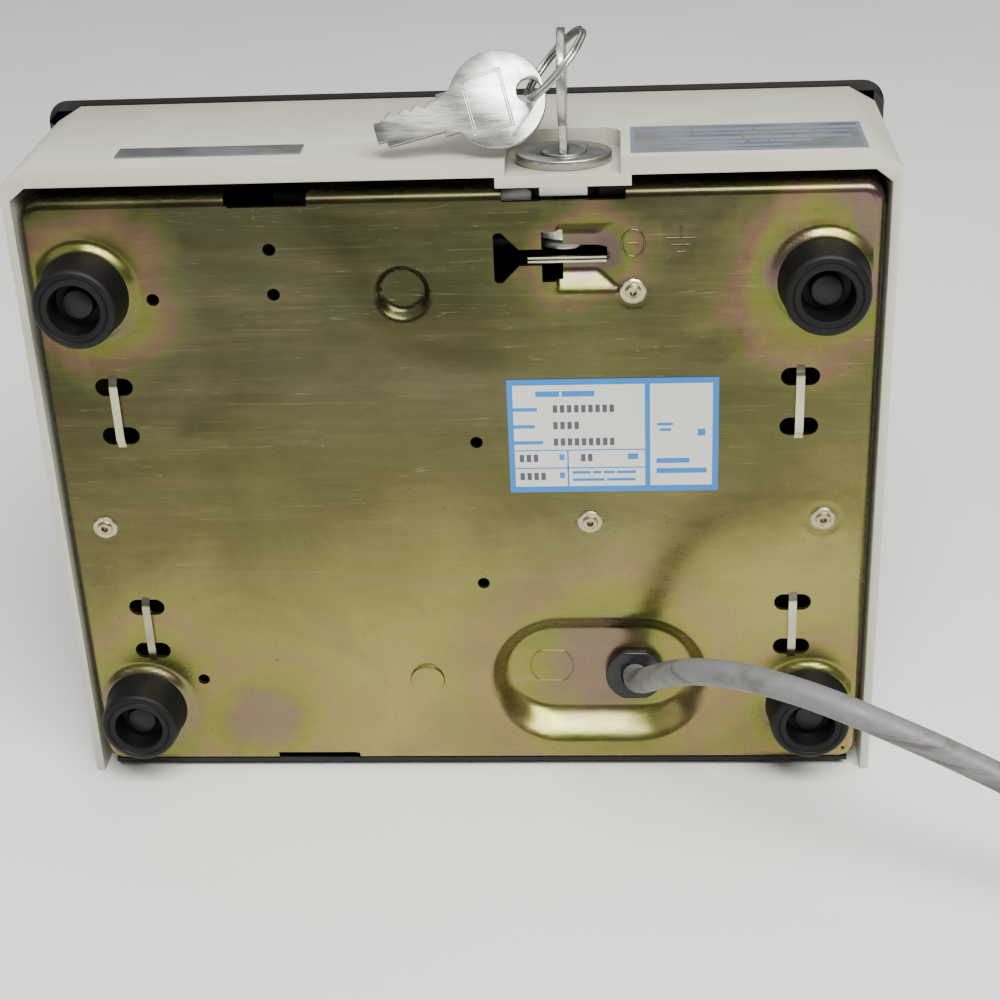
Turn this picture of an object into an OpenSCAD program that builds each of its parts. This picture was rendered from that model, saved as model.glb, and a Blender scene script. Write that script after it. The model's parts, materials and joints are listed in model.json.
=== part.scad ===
// Punch time clock, lying on its back with its base plate to the front.
// Each piece is drawn upright: x from the middle, y back from the base plate's
// front edge, z up from the base plate's underside. lying() lays it on its back.

/* [Overall] */
// Height of the clock from the ends of its feet to the top of its hood
total_h = 210; // [208:1:214]
// Height of the rubber feet below the base plate
foot_h = 11; // [10:0.5:12]

/* [Base plate] */
// Width of the base plate
plate_w = 190; // [189:0.5:190.5]
// Depth of the base plate
plate_d = 149.6; // [149:0.1:150]
// Thickness of the steel sheet
sheet_t = 1.2; // [1:0.1:1.3]
// Height of the turned-up flanges
flange_h = 9; // [8:0.5:9.5]
// Radius of the plate's corners
plate_r = 4.5; // [3:0.5:6]
// Depth of the pressed dish that the power cord comes out of
dish_h = 6; // [4:0.5:7]

/* [Lower case] */
// Outer width of the lower case
case_w = 196.4; // [196:0.1:197]
// Height of the lower case above the base plate's underside
case_h = 50.5; // [49:0.5:50.5]
// Distance from the base plate's front edge to the front of the case
case_front = 7; // [6.5:0.1:7.5]
// Thickness of the case's side walls
case_wall = 2; // [1.8:0.1:2]
// Thickness of the case's front wall
front_wall = 4.1; // [3.6:0.1:4.2]
// Distance that the case reaches behind the base plate
rear_over = 3.1; // [3:0.1:3.5]

/* [Hood] */
// Outer width of the hood
hood_w = 201; // [200.8:0.1:202]
// Thickness of the hood's walls
hood_wall = 2.5; // [2:0.1:2.5]
// Distance that the hood's lower edge stands in front of the case
hood_lip = 1.4; // [1.2:0.1:1.6]
// Angle that the clock panel leans back from upright
panel_tilt = 16; // [16:0.5:17]
// Diameter of the round window over the dial
window_d = 88; // [80:1:90]

/* [Card throat] */
// Width of the card slot
slot_w = 90; // [88:1:92]
// Thickness of the card slot
slot_t = 5; // [5:0.1:6]

/* [Lock and keys] */
// Diameter of the lock's chrome face
lock_face_d = 21.2; // [18:0.1:22]
// Diameter of the lock's threaded barrel
barrel_d = 15; // [14:0.5:15]
// Diameter of the plug that the key turns
plug_d = 10; // [9.5:0.1:10.5]
// Diameter of a key's bow
bow_d = 21; // [20:0.5:22]
// Thickness of a key
key_t = 1.8; // [1.6:0.1:1.8]
// Distance from the middle of a key's bow to its tip
key_reach = 27; // [26:0.5:27]
// Mean radius of the key ring
ring_r = 9; // [9:0.1:9.2]

/* [Power cord] */
// Diameter of the power cord
cord_d = 6.2; // [6:0.1:6.4]

/* [Output] */
// Piece to build

/* [Hidden] */
$fn = 48;

// Clearances
fit = 0.05;       // radial play of a turning fit
gap = 0.1;        // space between fixed pieces that lie together

// Places of the whole
mid_h = total_h / 2 - foot_h;
back_y = plate_d + rear_over;
top_z = total_h - foot_h;
half_w = plate_w / 2;

// Feet and pads
foot_r = 9.2;
foot_root_r = 10.25;
pad_r = 11.3;
pad_h = 1.5;
foot_recess_r = 5.8;
foot_recess_h = 6;
foot_x = 82.3;
foot_spots = [[-foot_x, 21.7], [foot_x, 21.7], [-foot_x, 132.4], [foot_x, 132.4]];
foot_hole_r = 1.9;
foot_screw_r = 1.7;
foot_head_r = 3.6;

// Openings of the base plate
plain_holes = [[-67.2, 23.7], [-67.2, 125], [4.1, 60.4], [4.1, 98]];
plain_hole_r = 1.4;
drawn_holes = [[-39.7, 12.4], [-39.7, 23]];
rivet_spots = [[40.6, 23.8], [-86.2, 81.7], [30, 81.6], [84.4, 81.4]];
rivet_hole_r = 1.7;
lance_spots = [[-79, 51.2], [78, 51.2], [-79, 110.2], [78, 110.2]];
lance_l = 8.6;
lance_w = 4.2;
lance_step = 6.2;
lance_strip_w = 2.4;
flange_notches = [[-48.1, -30.5], [12.1, 39.1]];
rear_notch = [-50.4, -30.3];
dimple_at = [-10.8, 23.2];
dimple_r = 6.2;
dimple_h = 2.4;
boss_at = [-11, 125.3];
boss_r = 4.1;
dish_at = [31.5, 125.9];
dish_mouth = [53, 36];
dish_floor = [44.8, 22];
bushing_at = [40.2, 127];
knockout_at = [19.6, 125.4];
latch_x = 10;
latch_mid_y = 15.5;

// Lower case
case_x = case_w / 2;
chamfer_x = 6.2;
chamfer_y = 3.6;
inner_y = front_wall - case_front;
tongue_h = 5;
recess_w = 25;
recess_h = 22;
recess_y = -3;
lip_y = -0.5;

// Hood, as points back and up
hood_z = case_h + 0.5;
hood_y = -case_front - hood_lip;
band = [4.4, 15];
ledge = [30.4, 23];
panel_top_z = top_z - 7;
panel_x0 = hood_y + ledge[0];
panel_z0 = hood_z + ledge[1];
panel_top_y = panel_x0 + (panel_top_z - panel_z0) * tan(panel_tilt);
hood_profile = [[hood_y, hood_z],
                [hood_y + band[0], hood_z + band[1]],
                [panel_x0, panel_z0],
                [panel_top_y, panel_top_z],
                [panel_top_y + 7.7, top_z],
                [back_y, top_z],
                [back_y, hood_z]];
past = hood_wall + 2;
hood_cut = [hood_profile[0] - past * unit(hood_profile[1] - hood_profile[0]),
            hood_profile[1],
            hood_profile[2],
            hood_profile[3],
            hood_profile[4],
            [back_y + past, top_z],
            [back_y + past, hood_z - past]];
screw_spots = [25, 138];
cover_screw_z = hood_z + 2.4;

// Clock, on the middle of the panel
clock_y = (panel_x0 + panel_top_y) / 2;
clock_z = (panel_z0 + panel_top_z) / 2;
dial_off = 12.5;
dial_r = 50;
arbor_r = 1;
movement_w = 56;
movement_t = 16;
bracket_w = 123.4;
bracket_l = 60;

// Lock
lock_at = [25.7, 11];
lock_face_y = -5.2;
lock_face_h = 16;
barrel_end = 13;
plug_end = 14;
cam_t = 1.6;
cam_len = 12;
cam_w = 7;
keyway_t = key_t + 0.2;
blade_w = 7.2;
keyway_end = 6.5;
nut_flat = 18;
nut_t = 2.6;

// Keys and their ring
key_hole_r = 2.6;
hole_off = 7;
key_at = [lock_at[0], -21.5, lock_at[1]];
spare_at = [12, -18.8, 4];
spare_lean = -27.6;
spare_turn = 165.6;
hole_a = key_at - [0, hole_off, 0];
hole_b = spare_at - hole_off * [cos(spare_turn),
                                sin(spare_turn) * cos(spare_lean),
                                sin(spare_turn) * sin(spare_lean)];
ring_side = [0.364, -0.348, -0.864];
ring_chord = norm(hole_b - hole_a);
ring_at = (hole_a + hole_b) / 2 + sqrt(ring_r ^ 2 - (ring_chord / 2) ^ 2) * ring_side;
ring_dir = cross(unit(hole_b - hole_a), ring_side);
ring_wire_r = 0.45;

// Back plate and frames
back_t = 1.2;
back_plate_y = plate_d + gap;
back_half_w = 93;
back_top = 192;
wall_hole = [75, 60, 170];
wall_hole_r = 2.5;
frame_x = 61.8;
frame_t = 1.2;
frame_side = [[30, 1.3], [30, 85], [52, 165], [125, 165], [125, 1.3]];
frame_window = [[42, 70], [60, 150], [112, 150], [112, 74]];
rod_spots = [[50, 10], [121.5, 60], [115, 155], [86, 158]];
rod_r = 3;

// Card throat
throat_y = 12.5;
guide_t = 2;
guide_z0 = 36;
guide_z1 = 66;
stop_z = 33;
stop_h = 3;
print_x = -6;
print_w = 28;

// Hammer and solenoid
hammer_y = 4;
hammer_z = 34;
rod_hole_r = 1.5;
plunger_z = 24;
plunger_r = 3;
coil_r = 9;

// Print train, in the plane of its gears
mod = 0.8;
drive_n = 28;
idler_n = 40;
pinion_n = 12;
shaft_at = [30, 52];
idler_at = [56, 44];
shaft_r = 2;
type_r = 11.9;
mesh_a = atan2(idler_at[1] - shaft_at[1], idler_at[0] - shaft_at[0]);
mesh_b = -16;
pinion_at = idler_at + mod * (idler_n + pinion_n) / 2 * [cos(mesh_b), sin(mesh_b)];
idler_phase = mesh_a + 180 + 180 / idler_n;
idler_pitch = 360 / idler_n;
idler_slip = idler_phase - mesh_b - idler_pitch * round((idler_phase - mesh_b) / idler_pitch);
pinion_phase = mesh_b + 180 - idler_slip * idler_n / pinion_n + 180 / pinion_n;
gear_x = 34;
gear_t = 4;
motor_r = 17;

// Ribbon
spool_y = 45;
spool_r = 10.5;
spool_x = [-18, 6];
tray = [60, 30, 15.5];
tray_z = 66.5;

// Cord route, in the finished position
cord_r = cord_d / 2;
route = [[40.2, -89.5, 25.7], [40.5, -94, 27.2], [41.2, -98.5, 29.6],
         [42.4, -104, 33.2], [45, -111, 38.6], [49, -118.5, 44.6],
         [54.3, -125.5, 49.4], [60.8, -131.5, 52.5], [68.5, -137, 54],
         [78, -142, 53.6], [88, -146, 51.4], [98, -149.3, 48.3],
         [108, -152, 44.6], [119, -154.5, 39.8], [131, -157, 33.5],
         [144, -158.8, 25.8], [157, -159.5, 17.6], [169, -159.5, 10.6],
         [180, -159, 5.8], [190, -158.6, 3.6], [200, -158.4, 3.2]];
coil_at = [200, -115];
coil_mean_r = 34;
coil_turn_step = 6.25;
coil_half_w = 1.5 * coil_turn_step + cord_r;
coil_h = cord_d + 5.5;
plug_turn = 45;
plug_start = coil_mean_r + 1.5 * coil_turn_step;

// ---------------------------------------------------------------- functions

function unit(a) = a / norm(a);
function cross2(a, b) = a[0] * b[1] - a[1] * b[0];
function inward(a, b) = let (e = unit(b - a)) [e[1], -e[0]];
function inset_point(a, b, c, d) =
  let (q1 = b + inward(a, b) * d, q2 = b + inward(b, c) * d)
  let (e1 = unit(b - a), e2 = unit(c - b))
  q1 + e1 * cross2(q2 - q1, e2) / cross2(e1, e2);
function inset(p, d) =
  [for (i = [0:len(p) - 1])
     inset_point(p[(i + len(p) - 1) % len(p)], p[i], p[(i + 1) % len(p)], d)];
function toothed(n, r, up, down, phase) =
  [for (i = [0:n - 1], c = [[-0.25, -down], [-0.11, up], [0.11, up], [0.25, -down]])
     (r + c[1]) * [cos(phase + (i + c[0]) * 360 / n), sin(phase + (i + c[0]) * 360 / n)]];
function heading(p, i) = unit(p[min(i + 1, len(p) - 1)] - p[max(i - 1, 0)]);
function ring_points(p, i, r, n) =
  let (t = heading(p, i), s = unit(cross(t, [0, 0, 1])), b = cross(s, t))
  [for (k = [0:n - 1]) p[i] + r * (cos(k * 360 / n) * s + sin(k * 360 / n) * b)];

// ------------------------------------------------------------------ helpers

module lying() {
  translate([0, -mid_h, back_y]) rotate([-90, 0, 0]) children();
}

// A flat outline of (back, up) points, as thick as w, starting at x
module side(x, w) {
  translate([x, 0, 0]) rotate([90, 0, 90]) linear_extrude(w) children();
}

// A round bar along x
module bar_x(x0, x1, at, r) {
  translate([x0, at[0], at[1]]) rotate([0, 90, 0]) cylinder(h = x1 - x0, r = r);
}

// A round bar from front to back
module bar_y(x, y0, y1, z, r) {
  translate([x, y0, z]) rotate([-90, 0, 0]) cylinder(h = y1 - y0, r = r);
}

module block(a, b) {
  translate(a) cube(b - a);
}

module rounded(w, d, r) {
  union() {
    translate([-w / 2, r]) square([w, d - 2 * r]);
    translate([-w / 2 + r, 0]) square([w - 2 * r, d]);
    for (x = [-w / 2 + r, w / 2 - r], y = [r, d - r]) translate([x, y]) circle(r);
  }
}

module obround(l, w) {
  square([l - w, w], center = true);
  for (s = [-1, 1]) translate([s * (l - w) / 2, 0]) circle(d = w);
}

module double_d(d, flat) {
  intersection() {
    circle(d = d);
    square([d, flat], center = true);
  }
}

// Local z points out of the clock panel, local y up along it
module on_panel(z) {
  translate([0, clock_y, clock_z]) rotate([90 - panel_tilt, 0, 0]) translate([0, 0, z]) children();
}

module swept(p, r, n) {
  rings = [for (i = [0:len(p) - 1]) each ring_points(p, i, r, n)];
  last = (len(p) - 1) * n;
  walls = [for (i = [0:len(p) - 2], k = [0:n - 1])
             [i * n + k, i * n + (k + 1) % n, (i + 1) * n + (k + 1) % n, (i + 1) * n + k]];
  ends = [[for (k = [n - 1:-1:0]) k], [for (k = [0:n - 1]) last + k]];
  polyhedron(points = rings, faces = concat(walls, ends));
}

module key_shape() {
  linear_extrude(key_t, center = true) difference() {
    union() {
      circle(d = bow_d);
      translate([bow_d / 2 - 3, -4.6]) square([5, 9.2]);
      translate([bow_d / 2, -blade_w / 2]) square([key_reach - bow_d / 2 - 2, blade_w]);
      translate([key_reach - 3, -blade_w / 2 + 1.4]) square([3, blade_w - 2.8]);
    }
    translate([-hole_off, 0]) circle(key_hole_r);
    for (k = [0:3]) translate([bow_d / 2 + 5 + k * 3, blade_w / 2]) rotate(45) square(1.6, center = true);
  }
}

// --------------------------------------------------------------- base plate

module dish_form(mouth, floor_size, h) {
  hull() {
    linear_extrude(0.01) obround(mouth[0], mouth[1]);
    translate([0, 0, h - 0.01]) linear_extrude(0.01) obround(floor_size[0], floor_size[1]);
  }
}

module plate_shape() {
  linear_extrude(sheet_t) rounded(plate_w, plate_d, plate_r);
  linear_extrude(flange_h) difference() {
    rounded(plate_w, plate_d, plate_r);
    translate([0, sheet_t]) rounded(plate_w - 2 * sheet_t, plate_d - 2 * sheet_t, plate_r - sheet_t);
  }
  for (p = foot_spots) translate([p[0], p[1], -pad_h]) cylinder(h = pad_h + sheet_t, r = pad_r);
  for (p = drawn_holes) translate([p[0], p[1], 0]) cylinder(h = sheet_t + 1.6, r = 2.6);
  translate([dimple_at[0], dimple_at[1], 0]) cylinder(h = dimple_h + sheet_t, r1 = dimple_r + 1, r2 = dimple_r - 0.8);
  translate([boss_at[0], boss_at[1], -0.8]) cylinder(h = 1, r = boss_r);
  translate([dish_at[0], dish_at[1], 0])
    dish_form(dish_mouth + [2 * sheet_t, 2 * sheet_t], dish_floor + [2 * sheet_t, 2 * sheet_t], dish_h + sheet_t);
}

module plate_cuts() {
  for (p = foot_spots) {
    translate([p[0], p[1], -pad_h + sheet_t]) cylinder(h = pad_h + sheet_t, r = pad_r - sheet_t);
    translate([p[0], p[1], -5]) cylinder(h = 10, r = foot_hole_r);
  }
  for (p = concat(plain_holes, drawn_holes)) translate([p[0], p[1], -3]) cylinder(h = 10, r = plain_hole_r);
  for (p = rivet_spots) translate([p[0], p[1], -3]) cylinder(h = 10, r = rivet_hole_r);
  translate([dimple_at[0], dimple_at[1], -0.01]) cylinder(h = dimple_h + 0.01, r1 = dimple_r, r2 = dimple_r - 1.7);
  translate([dish_at[0], dish_at[1], -0.01]) dish_form(dish_mouth, dish_floor, dish_h + 0.01);
  translate([bushing_at[0], bushing_at[1], dish_h - 2]) linear_extrude(6) double_d(11.2, 10);
  for (p = lance_spots) translate([p[0], p[1], -1]) linear_extrude(4) {
    for (s = [-1, 1]) translate([0, s * lance_step]) obround(lance_l, lance_w);
    square([3.4, 2 * lance_step], center = true);
  }
  for (n = flange_notches) block([n[0], -1, sheet_t + 0.4], [n[1], sheet_t + 1, flange_h + 1]);
  block([rear_notch[0], plate_d - sheet_t - 1, sheet_t + 0.4], [rear_notch[1], plate_d + 1, flange_h + 1]);
  translate([latch_x, latch_mid_y, -1]) linear_extrude(4) latch_outline();
}

module latch_outline() {
  polygon([[0, -5.8], [5.4, -1.9], [5.4, 1.9], [0, 5.8]]);
  translate([5, -1.9]) square([21, 3.8]);
  translate([11.2, -5.8]) square([4.2, 11.6]);
}

module lance_strip() {
  block([-lance_strip_w / 2, -lance_step - 3.6, -1.1], [lance_strip_w / 2, lance_step + 3.6, 0.1]);
}

module base_plate() {
  color("darkkhaki") lying() {
    difference() {
      plate_shape();
      plate_cuts();
    }
    for (p = lance_spots) translate([p[0], p[1], 0]) lance_strip();
    difference() {
      translate([knockout_at[0], knockout_at[1], dish_h - 0.5]) linear_extrude(1) double_d(11, 9);
      translate([knockout_at[0], knockout_at[1], dish_h - 1]) linear_extrude(1.6) double_d(9.6, 7.6);
    }
  }
}

module feet() {
  color("dimgray") lying() for (p = foot_spots) translate([p[0], p[1], -foot_h])
    rotate_extrude() polygon([[foot_recess_r, 0], [foot_r - 0.8, 0], [foot_r, 0.8],
                              [foot_root_r, foot_h - pad_h], [foot_hole_r, foot_h - pad_h],
                              [foot_hole_r, foot_recess_h], [foot_recess_r, foot_recess_h]]);
}

module foot_screws() {
  color("silver") lying() for (p = foot_spots) translate([p[0], p[1], foot_recess_h - foot_h - 2.2]) {
    cylinder(h = 2.2, r = foot_head_r);
    cylinder(h = 9, r = foot_screw_r);
  }
}

module base_rivets() {
  color("silver") lying() for (p = rivet_spots) translate([p[0], p[1], -0.9]) difference() {
    union() {
      cylinder(h = 0.9, r = 2.9);
      cylinder(h = 4, r = rivet_hole_r - gap);
    }
    translate([0, 0, -1]) cylinder(h = 2.2, r = 0.9);
  }
}

module cord_bushing() {
  color("black") lying() translate([bushing_at[0], bushing_at[1], 0]) difference() {
    union() {
      translate([0, 0, dish_h - 2.6]) linear_extrude(2.6) double_d(14.4, 13.4);
      translate([0, 0, dish_h]) linear_extrude(sheet_t) double_d(11, 9.8);
      translate([0, 0, dish_h + sheet_t]) cylinder(h = 9, r1 = 6.4, r2 = 4.6);
    }
    cylinder(h = 30, r = cord_r);
  }
}

module rating_label() {
  color("steelblue") lying() block([11.6, 44.7, -0.25], [59.8, 73.4, 0]);
}

// --------------------------------------------------------------- power cord

module power_cord() {
  color("gray") swept(route, cord_r, 8);
}

module cord_coil() {
  color("gray") translate([coil_at[0], coil_at[1], 0]) rotate_extrude()
    polygon([[coil_mean_r - coil_half_w + 2, 0], [coil_mean_r + coil_half_w - 2, 0],
             [coil_mean_r + coil_half_w, 2], [coil_mean_r + coil_half_w, 4.6],
             [coil_mean_r + coil_half_w - 3.4, coil_h], [coil_mean_r - coil_half_w + 3.4, coil_h],
             [coil_mean_r - coil_half_w, 4.6], [coil_mean_r - coil_half_w, 2]]);
}

module cord_tie() {
  color("black") translate([coil_at[0], coil_at[1], 0]) rotate([0, 0, -150]) difference() {
    block([coil_mean_r - coil_half_w - 1, -3, 0], [coil_mean_r + coil_half_w + 1, 3, coil_h + 1]);
    block([coil_mean_r - coil_half_w, -4, 0.6], [coil_mean_r + coil_half_w, 4, coil_h]);
  }
}

// Local x is the way that the plug points
module at_plug() {
  translate([coil_at[0], coil_at[1], 0]) rotate([0, 0, plug_turn]) translate([plug_start, 0, 9.6])
    rotate([0, 0, 90]) children();
}

module plug_body() {
  color("black") at_plug() {
    translate([3, 0, 0]) rotate([0, 90, 0]) cylinder(h = 26, r1 = cord_r + 0.4, r2 = 6);
    difference() {
      block([29, -13, -9.5], [64, 13, 9.5]);
      for (s = [-1, 1]) translate([36, s * 14.5, -11]) cylinder(h = 22, r = 4);
    }
  }
}

module plug_pins() {
  color("gold") at_plug() for (s = [-1, 1]) block([64, s * 6.35 - 0.8, -3.2], [81, s * 6.35 + 0.8, 3.2]);
}

// -------------------------------------------------------------------- cover

module case_outline() {
  polygon([[-case_x, back_y], [-case_x, chamfer_y - case_front], [-case_x + chamfer_x, -case_front],
           [case_x - chamfer_x, -case_front], [case_x, chamfer_y - case_front], [case_x, back_y]]);
}

module case_inside() {
  polygon([[-case_x + case_wall, back_y + 1], [-case_x + case_wall, 0], [-case_x + case_wall + 3.7, inner_y],
           [case_x - case_wall - 3.7, inner_y], [case_x - case_wall, 0], [case_x - case_wall, back_y + 1]]);
}

module tongue_outline() {
  polygon([[-case_x + 0.3, back_y], [-case_x + 0.3, 1.5], [-case_x + 6.2, -4], [case_x - 6.2, -4],
           [case_x - 0.3, 1.5], [case_x - 0.3, back_y]]);
}

module lower_case() {
  color("ivory") lying() difference() {
    union() {
      linear_extrude(case_h) difference() {
        case_outline();
        case_inside();
      }
      linear_extrude(case_h + tongue_h) difference() {
        tongue_outline();
        case_inside();
      }
      block([lock_at[0] - 14.8, recess_y, 0], [lock_at[0] + 14.8, lip_y, 26]);
      for (s = [-1, 1]) block([s * (case_x - case_wall - 1.6) - 2, 8, flange_h + 0.4],
                              [s * (case_x - case_wall - 1.6) + 2, 134, flange_h + 2.4]);
    }
    translate([lock_at[0], recess_y, 0]) rotate([90, 0, 0]) linear_extrude(10) {
      translate([-recess_w / 2, -1]) square([recess_w, recess_h - 3]);
      translate([-recess_w / 2 + 4, -1]) square([recess_w - 8, recess_h + 1]);
      for (s = [-1, 1]) translate([s * (recess_w / 2 - 4), recess_h - 4]) circle(4);
    }
    bar_y(lock_at[0], -10, 2, lock_at[1], barrel_d / 2 + gap);
    for (y = screw_spots) bar_x(-110, 110, [y, cover_screw_z], 1.6);
  }
}

module brand_strip() {
  color("silver") lying() block([-73.5, -case_front - 0.4, 7], [-32, -case_front, 13.4]);
}

module caution_label() {
  color("lightgray") lying() block([40.4, -case_front - 0.25, 2.2], [91, -case_front, 21]);
}

module hood() {
  color("black") lying() difference() {
    side(-hood_w / 2, hood_w) polygon(hood_profile);
    side(-hood_w / 2 + hood_wall, hood_w - 2 * hood_wall) polygon(inset(hood_cut, hood_wall));
    block([-slot_w / 2 - 1, throat_y - slot_t / 2, hood_z + 5], [slot_w / 2 + 1, throat_y + slot_t / 2, hood_z + 35]);
    on_panel(-10) cylinder(h = 20, d = window_d);
    for (y = screw_spots) bar_x(-110, 110, [y, cover_screw_z], 1.6);
  }
}

module cover_screws() {
  color("silver") lying() for (y = screw_spots, s = [-1, 1]) {
    bar_x(s > 0 ? 94 : -hood_w / 2 + 0.2, s > 0 ? hood_w / 2 - 0.2 : -94, [y, cover_screw_z], 1.5);
    bar_x(s > 0 ? 93 : -95.6, s > 0 ? 95.6 : -93, [y, cover_screw_z], 3);
  }
}

module clock_lens() {
  color("lightblue") lying() on_panel(-hood_wall - 2) cylinder(h = 2, d = window_d + 5);
}

module lens_ring() {
  color("silver") lying() on_panel(-hood_wall) difference() {
    union() {
      cylinder(h = hood_wall + 1.2, d = window_d - 2 * gap);
      translate([0, 0, hood_wall]) cylinder(h = 1.2, d = window_d + 5);
    }
    translate([0, 0, -1]) cylinder(h = 10, d = window_d - 5);
  }
}

// ------------------------------------------------------------ lock and keys

module lock_barrel() {
  color("silver") lying() difference() {
    union() {
      translate([lock_at[0], recess_y, lock_at[1]]) rotate([90, 0, 0]) linear_extrude(recess_y - lock_face_y)
        scale([1, lock_face_h / lock_face_d]) circle(lock_face_d / 2);
      bar_y(lock_at[0], recess_y, barrel_end, lock_at[1], barrel_d / 2);
    }
    bar_y(lock_at[0], -10, 20, lock_at[1], plug_d / 2 + fit);
  }
}

module lock_nut() {
  color("gray") lying() translate([lock_at[0], lip_y, lock_at[1]]) rotate([-90, 0, 0]) linear_extrude(nut_t)
    difference() {
      circle(d = nut_flat / cos(30), $fn = 6);
      circle(barrel_d / 2 + gap);
    }
}

module lock_plug() {
  color("silver") lying() difference() {
    bar_y(lock_at[0], lock_face_y - 0.4, plug_end, lock_at[1], plug_d / 2);
    block([lock_at[0] - keyway_t / 2, -10, lock_at[1] - blade_w / 2 - gap],
          [lock_at[0] + keyway_t / 2, keyway_end, lock_at[1] + blade_w / 2 + gap]);
  }
}

module lock_cam() {
  color("gray") lying() {
    bar_y(lock_at[0], plug_end, plug_end + cam_t, lock_at[1], 6);
    block([lock_at[0], plug_end, lock_at[1] - cam_w / 2], [lock_at[0] + cam_len, plug_end + cam_t, lock_at[1] + cam_w / 2]);
  }
}

module inserted_key() {
  color("silver") lying() translate(key_at) rotate([90, 0, 90]) key_shape();
}

module spare_key() {
  color("silver") lying() translate(spare_at) rotate([spare_lean, 0, 0]) rotate([0, 0, spare_turn]) key_shape();
}

module key_ring() {
  color("silver") lying() translate(ring_at)
    rotate([0, acos(ring_dir[2]), atan2(ring_dir[1], ring_dir[0])])
    for (s = [-1, 1]) translate([0, 0, s * 0.42])
      rotate_extrude() translate([ring_r, 0]) circle(ring_wire_r, $fn = 16);
}

// ---------------------------------------------------------- back and frames

module back_plate() {
  color("gray") lying() difference() {
    union() {
      block([-back_half_w, back_plate_y, 1.3], [back_half_w, back_plate_y + back_t, back_top]);
      for (s = [-1, 1]) block([s * (back_half_w - 0.6) - 0.6, 136, 10], [s * (back_half_w - 0.6) + 0.6, back_plate_y + 0.5, back_top]);
      for (s = [-1, 1], z = [wall_hole[1], wall_hole[2]])
        bar_y(s * wall_hole[0], back_plate_y + 0.5, back_y, z, 8);
    }
    for (s = [-1, 1], z = [wall_hole[1], wall_hole[2]]) bar_y(s * wall_hole[0], 140, 160, z, wall_hole_r);
    for (s = [-1, 0, 1]) bar_y(s * 70, 140, 160, 5, 1.6);
  }
}

module back_screws() {
  color("silver") lying() for (s = [-1, 0, 1]) {
    bar_y(s * 70, plate_d - sheet_t - 4, plate_d - sheet_t, 5, 2.8);
    bar_y(s * 70, plate_d + gap, back_plate_y + back_t, 5, 1.5);
  }
}

module frame_plate(x) {
  side(x, frame_t) difference() {
    polygon(frame_side);
    polygon(frame_window);
    for (p = rod_spots) translate(p) circle(1.6);
  }
}

module left_frame() {
  color("silver") lying() frame_plate(-frame_x - frame_t);
}

module right_frame() {
  color("silver") lying() {
    frame_plate(frame_x);
    bar_x(gear_x - 1, frame_x + 0.5, idler_at, shaft_r);
  }
}

module spacer_rods() {
  color("silver") lying() for (p = rod_spots) bar_x(-frame_x, frame_x, p, rod_r);
}

module print_bracket() {
  color("silver") lying() difference() {
    union() {
      block([-33, 30, 1.3], [29, 38, 2.5]);
      for (x = [-33, 27.8]) block([x, 24, 1.3], [x + 1.2, 38, tray_z - gap]);
    }
    bar_x(-40, 40, shaft_at, shaft_r + fit);
  }
}

// -------------------------------------------------------------- card throat

module card_guide_front() {
  color("dimgray") lying() difference() {
    union() {
      block([-slot_w / 2 - 2, throat_y - slot_t / 2 - guide_t, guide_z0], [slot_w / 2 + 2, throat_y - slot_t / 2, guide_z1]);
      for (x = [-22, 8]) block([print_x + x - 1, 1.5, 31], [print_x + x + 1, throat_y - slot_t / 2 - 0.5, 40]);
    }
    block([print_x - 14, 5, 37.5], [print_x + 14, 12, 61]);
    bar_x(-60, 60, [hammer_y, hammer_z], rod_hole_r);
  }
}

module card_guide_rear() {
  color("dimgray") lying() difference() {
    union() {
      block([-slot_w / 2 - 2, throat_y + slot_t / 2, guide_z0], [slot_w / 2 + 2, throat_y + slot_t / 2 + guide_t, guide_z1]);
      for (s = [-1, 1]) {
        block([s * (slot_w / 2 + 1) - 1, throat_y - slot_t / 2, guide_z0], [s * (slot_w / 2 + 1) + 1, throat_y + slot_t / 2 + 1, guide_z1]);
        block([s * (slot_w / 2 - 1) - 3, throat_y + slot_t / 2, 1.3], [s * (slot_w / 2 - 1) + 3, throat_y + slot_t / 2 + guide_t, guide_z0 + 1]);
      }
    }
    block([print_x - 14, 13, 41], [print_x + 14, 20, 62]);
  }
}

module card_stop() {
  color("silver") lying() block([-slot_w / 2 + 1, throat_y - 2.2, stop_z], [slot_w / 2 - 1, throat_y + 2.2, stop_z + stop_h]);
}

module hammer() {
  color("gray") lying() difference() {
    union() {
      block([print_x - 12, 2, 46], [print_x + 12, 7.4, 58]);
      block([print_x - 3, 2.5, 24], [print_x + 3, 5.5, 47]);
      bar_x(print_x - 5, print_x + 5, [hammer_y, hammer_z], 3);
    }
    bar_x(-60, 60, [hammer_y, hammer_z], rod_hole_r + fit);
  }
}

module hammer_rod() {
  color("silver") lying() bar_x(print_x - 25, print_x + 11, [hammer_y, hammer_z], rod_hole_r);
}

module solenoid_coil() {
  color("brown") lying() difference() {
    union() {
      bar_y(print_x, 24, 44, plunger_z, coil_r);
      block([print_x - 11, 21, plunger_z - 11], [print_x + 11, 23.4, plunger_z + 11]);
      block([print_x - 11, 44, 1.3], [print_x + 11, 45.6, plunger_z + 11]);
      bar_y(print_x, 23, 25, plunger_z, 5);
    }
    bar_y(print_x, 15, 42, plunger_z, plunger_r + fit);
  }
}

module solenoid_plunger() {
  color("silver") lying() bar_y(print_x, 5.7, 34, plunger_z, plunger_r);
}

// -------------------------------------------------------------- print train

module wheel(x, w, r, n, up) {
  side(x, w) difference() {
    polygon(toothed(n, r, up, up, mesh_a));
    circle(shaft_r + fit);
  }
}

module at_shaft() {
  translate([0, shaft_at[0], shaft_at[1]]) children();
}

module type_shaft() {
  color("silver") lying() bar_x(-36, gear_x + gear_t + 1, shaft_at, shaft_r);
}

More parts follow.
